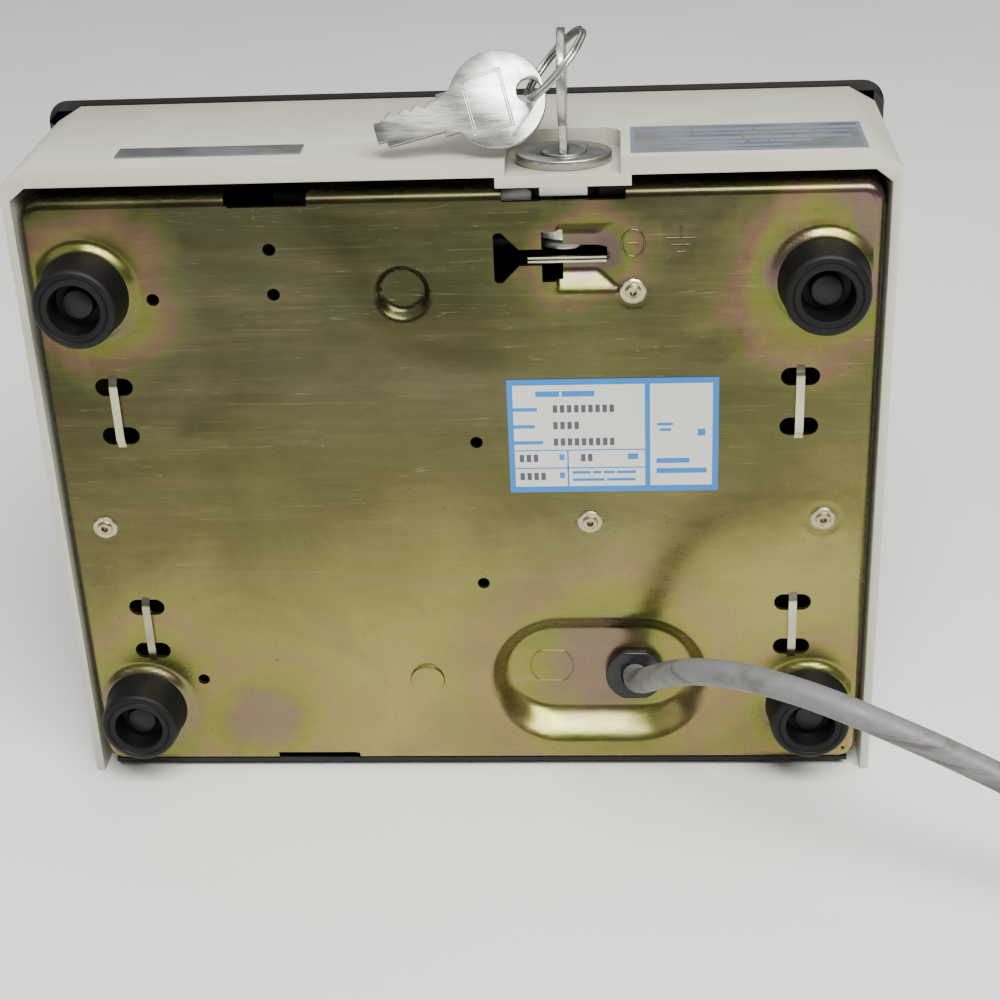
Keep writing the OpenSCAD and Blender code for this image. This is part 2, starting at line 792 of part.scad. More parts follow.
module drive_gear() {
  color("gold") lying() at_shaft() side(gear_x, gear_t) difference() {
    polygon(toothed(drive_n, mod * drive_n / 2, 0.65, 0.85, mesh_a));
    circle(shaft_r);
  }
}

module minute_type_wheel() {
  color("gold") lying() at_shaft() side(print_x + 2, 7) difference() {
    polygon(toothed(60, type_r, 0.35, 0.35, 0));
    circle(shaft_r);
  }
}

module hour_type_wheel() {
  color("gold") lying() at_shaft() wheel(print_x - 5.4, 7, type_r, 24, 0.35);
}

module date_type_wheel() {
  color("gold") lying() at_shaft() wheel(print_x - 12.8, 7, type_r, 31, 0.35);
}

module idler_gear() {
  color("white") lying() translate([0, idler_at[0], idler_at[1]]) side(gear_x, gear_t) difference() {
    polygon(toothed(idler_n, mod * idler_n / 2, 0.65, 0.85, idler_phase));
    circle(shaft_r + fit);
  }
}

module motor_pinion() {
  color("gold") lying() {
    translate([0, pinion_at[0], pinion_at[1]]) side(gear_x, gear_t)
      polygon(toothed(pinion_n, mod * pinion_n / 2, 0.65, 0.85, pinion_phase));
    bar_x(gear_x + gear_t, gear_x + gear_t + 4, pinion_at, 1.5);
  }
}

module drive_motor() {
  color("silver") lying() difference() {
    union() {
      bar_x(gear_x + gear_t + 3, frame_x, pinion_at, motor_r);
      block([frame_x - 1.5, pinion_at[0] - 25, pinion_at[1] - 4], [frame_x, pinion_at[0] + 25, pinion_at[1] + 4]);
    }
    bar_x(gear_x, gear_x + gear_t + 5, pinion_at, 1.5 + fit);
    bar_x(gear_x, frame_x + 1, idler_at, shaft_r + 1);
  }
}

module ribbon_cassette() {
  color("black") lying() difference() {
    union() {
      block([print_x - tray[0] / 2, 31, tray_z], [print_x + tray[0] / 2, 31 + tray[1], tray_z + tray[2]]);
    }
    block([print_x - tray[0] / 2 + 1.5, 32.5, tray_z + 1.4],
          [print_x + tray[0] / 2 - 1.5, 29.5 + tray[1], tray_z + tray[2] + 1]);
  }
  color("black") lying() for (x = spool_x) translate([x, spool_y, tray_z + 1]) cylinder(h = 14, r = 2);
}

module ribbon_spool(x) {
  translate([x, spool_y, tray_z + 1.7]) difference() {
    union() {
      cylinder(h = 1.2, r = spool_r);
      cylinder(h = 12, r = 8.4);
      translate([0, 0, 10.8]) cylinder(h = 1.2, r = spool_r);
    }
    translate([0, 0, -1]) cylinder(h = 20, r = 2 + fit);
    translate([5.4, 0, -1]) cylinder(h = 20, r = 1.2);
  }
}

module ribbon_spool_left() {
  color("dimgray") lying() ribbon_spool(spool_x[0]);
}

module ribbon_spool_right() {
  color("dimgray") lying() ribbon_spool(spool_x[1]);
}

module ribbon() {
  color("purple") lying() {
    block([print_x - 24, 17.15, 46], [print_x + 24, 17.4, 58]);
    for (s = [-1, 1]) {
      block([print_x + s * 21 - 3, 17.15, 57], [print_x + s * 21 + 3, 17.4, tray_z]);
      block([print_x + s * 21 - 3, 17.15, tray_z - 0.3], [print_x + s * 21 + 3, 40, tray_z]);
    }
  }
}

// -------------------------------------------------------------------- clock

module clock_bracket() {
  color("silver") lying() on_panel(-dial_off - movement_t - 1.2) linear_extrude(1.2)
    square([bracket_w, bracket_l], center = true);
}

module movement() {
  color("black") lying() {
    on_panel(-dial_off - movement_t) linear_extrude(movement_t) square(movement_w, center = true);
    on_panel(-dial_off) cylinder(h = 2.6, r = 3.4);
  }
}

module dial() {
  color("white") lying() on_panel(-dial_off) difference() {
    cylinder(h = 1, r = dial_r);
    translate([0, 0, -1]) cylinder(h = 3, r = 3.6);
  }
}

module hand(len, w, tail) {
  translate([-w / 2, -tail]) square([w, len + tail]);
  translate([-w / 4, len]) square([w / 2, 3]);
}

module minute_hand() {
  color("black") lying() on_panel(-8.2) {
    rotate([0, 0, -60]) linear_extrude(0.6) hand(36, 2.6, 9);
    cylinder(h = 1.6, r = 3);
    translate([0, 0, -1.6]) cylinder(h = 2, r = arbor_r);
  }
}

module hour_hand() {
  color("black") lying() on_panel(-9.7) difference() {
    union() {
      translate([0, 0, 0.3]) rotate([0, 0, 55]) linear_extrude(0.6) hand(24, 4, 7);
      cylinder(h = 1.1, r = 3.4);
    }
    translate([0, 0, -1]) cylinder(h = 4, r = arbor_r + fit);
  }
}

// ------------------------------------------------------------- power supply

module transformer_core() {
  color("gray") lying() difference() {
    block([-55, 93, 1.3], [-15, 117, 36.7]);
    for (x = [-49, -29]) block([x, 90, 8], [x + 8, 120, 30]);
  }
}

module transformer_coil() {
  color("orange") lying() difference() {
    block([-48.7, 86, 8.3], [-21.3, 124, 29.7]);
    block([-41.1, 92.9, 8], [-28.9, 117.1, 30]);
  }
}

module circuit_board() {
  color("green") lying() {
    block([-57, 132, 44], [30, 133.6, 132]);
    for (p = [[-46, 60], [-46, 84], [-10, 96], [8, 62]]) block([p[0], 127, p[1]], [p[0] + 14, 132.5, p[1] + 9]);
    bar_y(-30, 122, 132.5, 116, 5);
    bar_y(-14, 122, 132.5, 116, 5);
  }
}

module board_standoffs() {
  color("gold") lying() for (x = [-53, 26], z = [48, 128]) bar_y(x, 133.6, back_plate_y, z, 2.5);
}

base_plate();
feet();
foot_screws();
base_rivets();
cord_bushing();
rating_label();
power_cord();
cord_coil();
cord_tie();
plug_body();
plug_pins();
lower_case();
brand_strip();
caution_label();
hood();
cover_screws();
clock_lens();
lens_ring();
lock_barrel();
lock_nut();
lock_plug();
lock_cam();
inserted_key();
key_ring();
spare_key();
back_plate();
back_screws();
left_frame();
right_frame();
spacer_rods();
print_bracket();
card_guide_front();
card_guide_rear();
card_stop();
hammer();
hammer_rod();
solenoid_coil();
solenoid_plunger();
type_shaft();
drive_gear();
minute_type_wheel();
hour_type_wheel();
date_type_wheel();
idler_gear();
motor_pinion();
drive_motor();
ribbon_cassette();
ribbon_spool_left();
ribbon_spool_right();
ribbon();
clock_bracket();
movement();
dial();
minute_hand();
hour_hand();
transformer_core();
transformer_coil();
circuit_board();
board_standoffs();
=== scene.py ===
"""Looks of the punch time clock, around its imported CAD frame. Metres, in the row frame:
+Z is the way the clock's front faces, +Y the way its top points, and its base plate faces -Y."""

import math

import bmesh
import bpy
from mathutils import Matrix, Vector
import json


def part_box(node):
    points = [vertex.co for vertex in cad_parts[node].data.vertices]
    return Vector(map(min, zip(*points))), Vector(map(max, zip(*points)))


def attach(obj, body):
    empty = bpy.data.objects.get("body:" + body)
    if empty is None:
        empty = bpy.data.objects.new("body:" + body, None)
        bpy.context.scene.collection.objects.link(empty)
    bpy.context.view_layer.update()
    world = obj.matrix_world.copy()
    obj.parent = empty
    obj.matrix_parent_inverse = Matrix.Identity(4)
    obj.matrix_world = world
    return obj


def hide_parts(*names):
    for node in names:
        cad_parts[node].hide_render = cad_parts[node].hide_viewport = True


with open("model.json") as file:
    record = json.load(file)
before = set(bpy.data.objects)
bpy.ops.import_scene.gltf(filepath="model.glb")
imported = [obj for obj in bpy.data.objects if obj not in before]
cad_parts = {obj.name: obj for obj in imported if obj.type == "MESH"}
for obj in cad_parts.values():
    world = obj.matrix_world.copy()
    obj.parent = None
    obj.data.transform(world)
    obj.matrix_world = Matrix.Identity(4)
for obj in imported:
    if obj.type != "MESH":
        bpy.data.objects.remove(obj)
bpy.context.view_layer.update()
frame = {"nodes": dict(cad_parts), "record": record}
MM = 0.001

# ---------------------------------------------------------------- places taken from the frame

plate_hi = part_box("base_plate")[1]
hood_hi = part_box("hood")[1]
coil_lo, coil_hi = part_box("cord_coil")
SHEET, FLANGE = 1.2, 9.0  # the plate's sheet and how far its edges turn in, in mm
PLATE_Y = plate_hi.y - FLANGE * MM  # outer face of the base plate
PLATE_TOP = plate_hi.z  # the edge at the clock's front
HALF_W, DEEP = 95.0, 149.6  # the plate's half width and its depth, in mm


def on_plate(x, back, up=0.0):
    """A point x from the middle, back from the plate's front edge and up into the clock, in mm."""
    return Vector((x * MM, PLATE_Y + up * MM, PLATE_TOP - back * MM))


# ---------------------------------------------------------------- node materials


class Nodes:
    """Builds one procedural material; every surface has its own noise scales."""

    def __init__(self, name):
        self.m = bpy.data.materials.new(name)
        self.m.use_nodes = True
        self.t = self.m.node_tree
        self.t.nodes.clear()
        self.out = self.t.nodes.new("ShaderNodeOutputMaterial")
        self.bsdf = self.t.nodes.new("ShaderNodeBsdfPrincipled")
        self.link(self.bsdf.outputs[0], self.out.inputs[0])
        self.coord = self.t.nodes.new("ShaderNodeTexCoord").outputs["Object"]

    def link(self, a, b):
        self.t.links.new(a, b)

    def set(self, **values):
        for key, value in values.items():
            self.bsdf.inputs[key.replace("_", " ").title().replace("Ior", "IOR")].default_value = value
        return self

    def scaled(self, scale):
        node = self.t.nodes.new("ShaderNodeMapping")
        if len(scale) == 4:
            node.inputs["Rotation"].default_value = (0, scale[3], 0)
        node.inputs["Scale"].default_value = scale[:3]
        self.link(self.coord, node.inputs["Vector"])
        return node.outputs[0]

    def noise(self, scale, detail=4, rough=0.55, stretch=None, distort=0.0):
        node = self.t.nodes.new("ShaderNodeTexNoise")
        node.inputs["Scale"].default_value = scale
        node.inputs["Detail"].default_value = detail
        node.inputs["Roughness"].default_value = rough
        node.inputs["Distortion"].default_value = distort
        self.link(self.scaled(stretch) if stretch else self.coord, node.inputs["Vector"])
        return node.outputs["Fac"]

    def ramp(self, fac, *stops):
        node = self.t.nodes.new("ShaderNodeValToRGB")
        while len(node.color_ramp.elements) < len(stops):
            node.color_ramp.elements.new(0.5)
        for element, (at, colour) in zip(node.color_ramp.elements, stops):
            element.position = at
            if not hasattr(colour, "__len__"):
                colour = (colour, colour, colour)
            element.color = (*colour, 1)
        self.link(fac, node.inputs[0])
        return node.outputs[0]

    def mix(self, fac, a, b, mode="MIX"):
        node = self.t.nodes.new("ShaderNodeMix")
        node.data_type = "RGBA"
        node.blend_type = mode
        for value, socket in ((fac, node.inputs[0]), (a, node.inputs[6]), (b, node.inputs[7])):
            if hasattr(value, "node"):
                self.link(value, socket)
            elif hasattr(value, "__len__"):
                socket.default_value = (*value, 1)
            else:
                socket.default_value = value if socket == node.inputs[0] else (value, value, value, 1)
        return node.outputs[2]

    def math(self, op, a, b=0.0):
        node = self.t.nodes.new("ShaderNodeMath")
        node.operation = op
        for value, socket in ((a, node.inputs[0]), (b, node.inputs[1])):
            if hasattr(value, "node"):
                self.link(value, socket)
            else:
                socket.default_value = value
        return node.outputs[0]

    def distance(self, at):
        """Metres from a point, in the row frame."""
        node = self.t.nodes.new("ShaderNodeVectorMath")
        node.operation = "DISTANCE"
        self.link(self.coord, node.inputs[0])
        node.inputs[1].default_value = at
        return node.outputs["Value"]

    def axis(self, index):
        node = self.t.nodes.new("ShaderNodeSeparateXYZ")
        self.link(self.coord, node.inputs[0])
        return node.outputs[index]

    def edges(self):
        node = self.t.nodes.new("ShaderNodeNewGeometry")
        return self.ramp(node.outputs["Pointiness"], (0.49, 0.0), (0.56, 1.0))

    def colour(self, socket):
        self.link(socket, self.bsdf.inputs["Base Color"])
        return self

    def rough(self, socket):
        self.link(socket, self.bsdf.inputs["Roughness"])
        return self

    def bump(self, height, distance, strength=1.0):
        node = self.t.nodes.new("ShaderNodeBump")
        node.inputs["Distance"].default_value = distance
        node.inputs["Strength"].default_value = strength
        self.link(height, node.inputs["Height"])
        if self.bsdf.inputs["Normal"].is_linked:
            self.link(self.bsdf.inputs["Normal"].links[0].from_socket, node.inputs["Normal"])
        self.link(node.outputs[0], self.bsdf.inputs["Normal"])
        return self


def plastic(name, dark, light, rough, grain, depth, wear=None, spots=None, specular=0.5):
    m = Nodes(name)
    m.bsdf.inputs["Specular IOR Level"].default_value = specular
    base = m.mix(m.ramp(m.noise(14, 5), (0.35, 0), (0.65, 1)), dark, light)
    if spots:
        base = m.mix(m.ramp(m.noise(120, 6, 0.7), (0.62, 0.0), (0.72, 1.0)), base, spots)
    if wear:
        base = m.mix(m.edges(), base, wear)
    m.colour(base)
    m.rough(m.ramp(m.noise(60, 4), (0.3, rough - 0.08), (0.7, rough + 0.08)))
    m.bump(m.noise(grain, 3, 0.6), depth)
    m.bump(m.noise(6, 2), 0.0004, 0.3)
    return m.m


def metal(name, colour, rough, brushed=None, tarnish=0.75, scratch=0.00002):
    m = Nodes(name)
    m.set(metallic=1.0)
    stained = tuple(c * tarnish for c in colour)
    m.colour(m.mix(m.ramp(m.noise(35, 6, 0.65), (0.4, 0.0), (0.7, 1.0)), colour, stained))
    m.rough(m.ramp(m.noise(90, 5, 0.6, brushed), (0.3, max(rough - 0.1, 0.04)), (0.75, rough + 0.12)))
    m.bump(m.noise(220, 4, 0.6, brushed or (1, 1, 1)), scratch)
    return m.m


# thin films at the feet, the dish, the rear edge, the latch pocket and one front corner:
# x and back of each centre, its reach in mm and its strength
FILMS = [(82.3, 21.7, 30, 0.8), (-82.3, 21.7, 26, 0.7), (-82.3, 132.4, 34, 0.75), (82.3, 132.4, 27, 0.8),
         (31.5, 125.9, 46, 0.75), (-52, 138, 26, 0.6), (31, 15.6, 16, 0.6), (92, 2, 24, 0.6)]


def chromate_sheet():
    """Yellow-chromate steel, gold towards the plate's rear edge and dark olive towards its front edge and its
    -X side, a gradient that is painted reflection and also stands for the film's own change in tone; pink and
    green bands where the film is thin.
    """
    m = Nodes("Yellow_chromate")
    m.set(metallic=0.95)
    ripple = m.math("MULTIPLY", m.math("SUBTRACT", m.noise(26, 5, 0.6, None, 1.2), 0.5), 0.05)
    # painted reflection: the base colour runs from gold at the rear edge to dark olive at the front edge and
    # towards -X
    height = m.math("ADD", m.math("ADD", m.axis(2), m.math("MULTIPLY", m.axis(0), -0.16)), ripple)
    base = m.ramp(m.math("MULTIPLY", height, 6.0), (0.04, (0.34, 0.27, 0.095)), (0.25, (0.26, 0.235, 0.075)),
                  (0.46, (0.105, 0.094, 0.036)), (0.68, (0.055, 0.051, 0.022)), (0.92, (0.036, 0.033, 0.015)))
    cloud = m.noise(11, 5, 0.55, (1, 1, 1.4), 1.3)
    base = m.mix(m.ramp(cloud, (0.48, 0.0), (0.68, 0.4)), base, (0.13, 0.118, 0.07))
    patch = m.ramp(m.noise(8, 4, 0.5, (1, 1, 1), 0.9), (0.5, 0.0), (0.66, 0.35))
    base = m.mix(patch, base, (0.13, 0.14, 0.045))
    pink, green = (0.25, 0.115, 0.095), (0.15, 0.175, 0.03)
    violet, gold = (0.16, 0.095, 0.10), (0.22, 0.18, 0.05)
    for x, b, reach, strength in FILMS:
        away = m.math("ADD", m.distance(on_plate(x, b)), m.math("MULTIPLY", ripple, 0.55))
        fac = m.math("DIVIDE", away, reach * MM)
        film = m.ramp(fac, (0.25, violet), (0.42, green), (0.56, gold), (0.68, pink), (0.85, green))
        base = m.mix(m.math("MULTIPLY", m.ramp(fac, (0.35, 1.0), (1.0, 0.0)), strength), base, film)
    streak = m.noise(70, 5, 0.65, (0.35, 1, 3.0, 0.3))
    base = m.mix(m.ramp(streak, (0.45, 0.0), (0.85, 0.22)), base, (0.24, 0.20, 0.10))
    scratch = m.ramp(m.noise(34, 2, 0.5, (0.15, 1, 8.0, 0.34), 2.5), (0.496, 0.0), (0.5, 0.35), (0.504, 0.0))
    base = m.mix(scratch, base, (0.30, 0.27, 0.17))
    speck = m.ramp(m.noise(900, 3, 0.7), (0.66, 0.0), (0.74, 0.6))
    base = m.mix(speck, base, (0.05, 0.04, 0.02))
    m.colour(base)
    m.rough(m.ramp(m.noise(130, 6, 0.65, (0.6, 1, 1.8, 0.3)), (0.3, 0.2), (0.72, 0.36)))
    m.bump(m.noise(260, 4, 0.6, (0.5, 1, 2.5, 0.3)), 0.00003, 0.6)
    m.bump(m.noise(1200, 2, 0.5), 0.00001, 0.6)
    m.bump(m.noise(7, 2, 0.4), 0.0011, 0.35)
    return m.m


def cord_sheath():
    m = Nodes("Cord_sheath")
    dirt = m.ramp(m.noise(70, 6, 0.7, (1, 1, 1), 0.6), (0.5, 0.0), (0.68, 0.85))
    base = m.mix(m.ramp(m.noise(20, 4), (0.3, 0), (0.7, 1)), (0.125, 0.127, 0.127), (0.17, 0.172, 0.17))
    scuff = m.ramp(m.noise(38, 5, 0.7, (0.5, 1, 2.2), 1.0), (0.53, 0.0), (0.6, 0.7))
    base = m.mix(scuff, base, (0.05, 0.038, 0.026))
    m.colour(m.mix(dirt, base, (0.075, 0.068, 0.058)))
    m.rough(m.ramp(m.noise(150, 4), (0.3, 0.42), (0.7, 0.6)))
    m.bump(m.noise(300, 4, 0.6), 0.00006, 0.6)
    return m.m


def clear_lens():
    m = Nodes("Clear_lens")
    m.set(transmission_weight=0.96, ior=1.49)
    m.colour(m.ramp(m.noise(8, 3), (0.3, (0.93, 0.95, 0.95)), (0.7, (0.97, 0.98, 0.98))))
    m.rough(m.ramp(m.noise(400, 5, 0.7), (0.5, 0.02), (0.75, 0.14)))
    m.bump(m.noise(3, 2), 0.0002, 0.2)
    return m.m


MAT = {
    "zinc_yellow": chromate_sheet(),
    "steel": metal("Zinc_plated_steel", (0.60, 0.60, 0.58), 0.36, (1, 6, 1)),
    "chrome": metal("Nickel_plate", (0.42, 0.415, 0.39), 0.3, (1, 1, 5), 0.8, 0.00003),
    # near-black steel as painted shade: it darkens the foot screws in their recesses, and the back plate and
    # its screws in the strip under the plate's rear edge
    "black_steel": plastic("Black_oxide", (0.003, 0.003, 0.003), (0.007, 0.007, 0.007), 0.4, 300, 0.00003,
                           None, None, 0.3),
    "brass": metal("Brass", (0.70, 0.52, 0.24), 0.3, None, 0.6),
    "rubber": plastic("Foot_rubber", (0.0012, 0.0012, 0.0013), (0.0024, 0.0024, 0.0026), 0.5, 240, 0.00008,
                      (0.005, 0.005, 0.005), (0.02, 0.019, 0.018), 0.2),
    "ivory_plastic": plastic("Ivory_plastic", (0.28, 0.275, 0.215), (0.35, 0.345, 0.275), 0.46, 420, 0.00005,
                             (0.44, 0.43, 0.35), (0.19, 0.17, 0.125)),
    "black_plastic": plastic("Black_plastic", (0.0025, 0.0025, 0.003), (0.005, 0.005, 0.0055), 0.34, 500,
                             0.00004, (0.012, 0.012, 0.012), None, 0.35),
    "grey_plastic": plastic("Grey_nylon", (0.40, 0.40, 0.38), (0.50, 0.50, 0.48), 0.5, 300, 0.00004),
    "cord_grey": cord_sheath(),
    "clear": clear_lens(),
    "silver_label": metal("Silver_label", (0.34, 0.35, 0.355), 0.42, (1, 1, 1), 0.85),
    "blue_label": plastic("Printed_label", (0.006, 0.13, 0.42), (0.009, 0.16, 0.48), 0.35, 300, 0.00001),
    "white_enamel": plastic("Dial_white", (0.74, 0.73, 0.69), (0.80, 0.79, 0.75), 0.4, 300, 0.00001),
    "ribbon_cloth": plastic("Inked_ribbon", (0.03, 0.01, 0.05), (0.06, 0.02, 0.09), 0.8, 1500, 0.00008),
    "copper": plastic("Winding_tape", (0.45, 0.17, 0.03), (0.55, 0.24, 0.05), 0.4, 200, 0.00008),
    "board_green": plastic("Solder_mask", (0.01, 0.13, 0.05), (0.02, 0.18, 0.07), 0.35, 500, 0.00004),
}
LABEL_WHITE = plastic("Label_white", (0.50, 0.51, 0.47), (0.56, 0.57, 0.53), 0.4, 300, 0.00001,
                      None, (0.38, 0.37, 0.32))
LABEL_INK = plastic("Label_ink", (0.03, 0.035, 0.045), (0.06, 0.065, 0.075), 0.5, 300, 0.00001)
LABEL_SILVER = metal("Label_face", (0.40, 0.41, 0.40), 0.45, (1, 1, 1), 0.85)
LABEL_BORDER = plastic("Label_border", (0.10, 0.13, 0.17), (0.14, 0.17, 0.21), 0.4, 300, 0.00001)
RIVET_METAL = metal("Rivet_metal", (0.52, 0.46, 0.30), 0.26, None, 0.5, 0.00003)
BRIDGE_METAL = metal("Lance_edge", (0.55, 0.52, 0.36), 0.24, (1, 1, 5), 0.5, 0.00003)
SLOT_OF = {s["node"]: s["material_slot"] for s in frame["record"]["subparts"]}
BODY_OF = {n: b for b, ns in frame["record"]["behaviour"]["bodies"].items() for n in ns}


def paint(obj, slot_name, material=None):
    obj.data.materials.clear()
    obj.data.materials.append(material or MAT[slot_name])
    return obj


def place(obj, body, slot_name, material=None):
    if obj.name not in bpy.context.scene.collection.objects:
        bpy.context.scene.collection.objects.link(obj)
    paint(obj, slot_name, material)
    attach(obj, body)
    return obj


def mesh_object(name, verts, faces, smooth=True):
    data = bpy.data.meshes.new(name)
    data.from_pydata([tuple(v) for v in verts], [], faces)
    data.update()
    for p in data.polygons:
        p.use_smooth = smooth
    return bpy.data.objects.new(name, data)


def apply_modifiers(obj):
    bpy.context.view_layer.update()
    data = bpy.data.meshes.new_from_object(obj.evaluated_get(bpy.context.evaluated_depsgraph_get()))
    obj.modifiers.clear()
    obj.data = data
    return obj


def cleaned(node):
    """The CAD node's faces as a bmesh, without the triangles' seams."""
    work = bmesh.new()
    work.from_mesh(frame["nodes"][node].data)
    bmesh.ops.remove_doubles(work, verts=work.verts, dist=1e-6)
    bmesh.ops.dissolve_limit(work, angle_limit=math.radians(1), verts=work.verts, edges=work.edges)
    return work


def softened(node, width):
    """The CAD node's own shape with its edges rounded, standing in for it."""
    data = frame["nodes"][node].data.copy()
    work = cleaned(node)
    work.to_mesh(data)
    work.free()
    for p in data.polygons:
        p.use_smooth = True
    obj = bpy.data.objects.new(node + "_shown", data)
    bpy.context.scene.collection.objects.link(obj)
    bevel = obj.modifiers.new("round", "BEVEL")
    bevel.width = width
    bevel.segments = 2
    bevel.limit_method = "ANGLE"
    bevel.angle_limit = math.radians(35)
    bevel.harden_normals = True
    apply_modifiers(obj)
    place(obj, BODY_OF[node], SLOT_OF[node])
    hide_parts(node)
    return obj


# ---------------------------------------------------------------- base plate


def smooth(t):
    t = min(max(t, 0.0), 1.0)
    return t * t * (3 - 2 * t)


def obround_distance(x, y, length, width):
    """Distance in mm outside an obround along x; negative inside it."""
    reach = (length - width) / 2
    dx = max(abs(x) - reach, 0)
    return math.hypot(dx, y) - width / 2


# (x, back) of the plate's features, in mm
FOOT_SPOTS = [(-82.3, 21.7), (82.3, 21.7), (-82.3, 132.4), (82.3, 132.4)]
DISH = {"at": (31.5, 125.9), "mouth": (53, 36), "floor": (44.8, 22), "depth": 6.0}
DIMPLE = {"at": (-10.8, 23.2), "depth": 2.3}
BOSS_AT = (-11.0, 125.3)
KNOCKOUT = (19.6, 125.4)
POCKET = {"from": 24.6, "to": 38.5, "middle": 15.5, "half": 8.2, "depth": 3.0}
RIVETS = [(40.6, 23.8), (-86.2, 81.7), (30, 81.6), (84.4, 81.4)]
PLAIN_HOLES = [(-67.2, 23.7), (-67.2, 125), (4.1, 60.4), (4.1, 98), (-39.7, 12.4), (-39.7, 23)]
LANCES = [(-79, 51.2), (78, 51.2), (-79, 110.2), (78, 110.2)]
RIM = 2.2  # width of the bend at the plate's edge
FOOT_SEAT, CORD_HOLE = {"r": 10.0, "depth": 1.5}, {"at": (40.2, 127), "r": 5.4}
SCREW_HOLE_R, FOOT_HOLE_R, RIVET_HOLE_R = 1.45, 1.9, 1.7
LANCE_REACH, LANCE_SLOT = 6.2, (8.8, 4.4)  # from a bridge's middle to its slots, and their size
NOTCHES = [(-48.1, -30.5), (12.1, 39.1)]  # each from x to x, in the front edge
REAR_NOTCH = (-50.4, -30.3)  # the same, in the rear edge


def pressed(x, back):
    """How far in from the flat sheet the plate is pressed at a point, in mm."""
    h = 0.0
    for fx, fb in FOOT_SPOTS:
        d = math.hypot(x - fx, back - fb)
        h -= FOOT_SEAT["depth"] * (1 - smooth((d - FOOT_SEAT["r"]) / 2.2))
    dx, db = x - DISH["at"][0], back - DISH["at"][1]
    outside = -obround_distance(dx, db, *DISH["mouth"])
    if outside > -1.5:
        inside = obround_distance(dx, db, *DISH["floor"])
        t = (outside + 1.2) / (outside + 1.2 + max(inside + 0.6, 0) + 1e-6)
        h += DISH["depth"] * smooth(t) if inside > -0.6 else DISH["depth"]
    d = math.hypot(x - DIMPLE["at"][0], back - DIMPLE["at"][1])
    h += DIMPLE["depth"] * (1 - smooth((d - 4.4) / 2.4))
    if POCKET["from"] - 1 < x < POCKET["to"]:
        across = (POCKET["half"] - abs(back - POCKET["middle"])) / 4.2
        along = min((x - POCKET["from"] + 1) / 1.2, (POCKET["to"] - x) / 5.5)
        h += POCKET["depth"] * min(max(min(across, along), 0), 1)
    for rx, rb in RIVETS:
        d = math.hypot(x - rx, back - rb)
        h += 0.35 * (1 - smooth(abs(d - 3.4) / 0.8))
    return h


def prism(outline, low=-3.0, high=9.0):
    """A cutter through the sheet; outline is (x, back) in mm."""
    n = len(outline)
    verts = [on_plate(x, b, low) for x, b in outline] + [on_plate(x, b, high) for x, b in outline]
    faces = [tuple(range(n)), tuple(range(2 * n - 1, n - 1, -1))]
    faces += [(i, i + n, (i + 1) % n + n, (i + 1) % n) for i in range(n)]
    return verts, faces


def round_outline(x, b, r, n=32):
    return [(x + u, b + v) for u, v in circle(r, n)]


def obround_outline(x, b, length, width, n=12):
    r, reach = width / 2, (length - width) / 2
    points = []
    for side, start in ((1, -90), (-1, 90)):
        for i in range(n + 1):
            a = math.radians(start + 180 * i / n)
            points.append((x + side * reach + r * math.cos(a), b + r * math.sin(a)))
    return points


def lance_outline(x, b):
    """The two slots at the ends of each bridge."""
    return [obround_outline(x, b + side * LANCE_REACH, *LANCE_SLOT) for side in (-1, 1)]


# the arrow-shaped opening at the lock
LATCH = [(10, 10.3), (10.6, 9.7), (11.8, 9.7), (15.6, 13.6), (20.6, 13.6), (20.6, 9.7), (25.2, 9.7),
         (25.2, 13.6), (35.0, 13.9), (35.0, 17.0), (25.2, 17.4), (25.2, 21.3), (20.6, 21.3), (20.6, 17.4),
         (15.6, 17.4), (11.8, 21.3), (10.6, 21.3), (10, 20.7)]


def cutters():
    """Outlines of every opening in the plate."""
    outlines = []
    for spots, r in ((PLAIN_HOLES, SCREW_HOLE_R), (FOOT_SPOTS, FOOT_HOLE_R), (RIVETS, RIVET_HOLE_R)):
        outlines += [round_outline(x, b, r) for x, b in spots]
    for x, b in LANCES:
        outlines += lance_outline(x, b)
    outlines.append(LATCH)
    outlines.append(round_outline(*CORD_HOLE["at"], CORD_HOLE["r"]))
    for (x0, x1), b0, b1 in [(n, -5, 2.6) for n in NOTCHES] + [(REAR_NOTCH, 147.2, 155)]:
        outlines.append([(x0, b0), (x1, b0), (x1, b1), (x0, b1)])
    return outlines


def plate_slab(step):
    """The flat of the sheet inside its bends, a closed slab ready to be cut and pressed."""
    x0, x1, b0, b1 = -HALF_W + RIM, HALF_W - RIM, RIM, DEEP - RIM
    nx, nb = round((x1 - x0) / step), round((b1 - b0) / step)
    verts, faces = [], []
    for up in (0.0, SHEET):
        for j in range(nb + 1):
            for i in range(nx + 1):
                x, b = x0 + (x1 - x0) * i / nx, b0 + (b1 - b0) * j / nb
                # round the four corners
                r, middle = 2.6, (b0 + b1) / 2
                cx, cb = max(abs(x) - (x1 - r), 0), max(abs(b - middle) - ((b1 - b0) / 2 - r), 0)
                d = math.hypot(cx, cb)
                if d > r:
                    x -= math.copysign(cx * (1 - r / d), x)
                    b -= math.copysign(cb * (1 - r / d), b - middle)
                verts.append(on_plate(x, b, up))
    row, layer = nx + 1, (nx + 1) * (nb + 1)
    for j in range(nb):
        for i in range(nx):
            a = j * row + i
            faces.append((a, a + 1, a + row + 1, a + row))
            faces.append((a + layer, a + row + layer, a + row + 1 + layer, a + 1 + layer))
    for i in range(nx):
        faces.append((i, i + layer, i + 1 + layer, i + 1))
        k = nb * row + i
        faces.append((k, k + 1, k + 1 + layer, k + layer))
    for j in range(nb):
        k = j * row
        faces.append((k, k + row, k + row + layer, k + layer))
        k += nx
        faces.append((k, k + layer, k + row + layer, k + row))
    return verts, faces


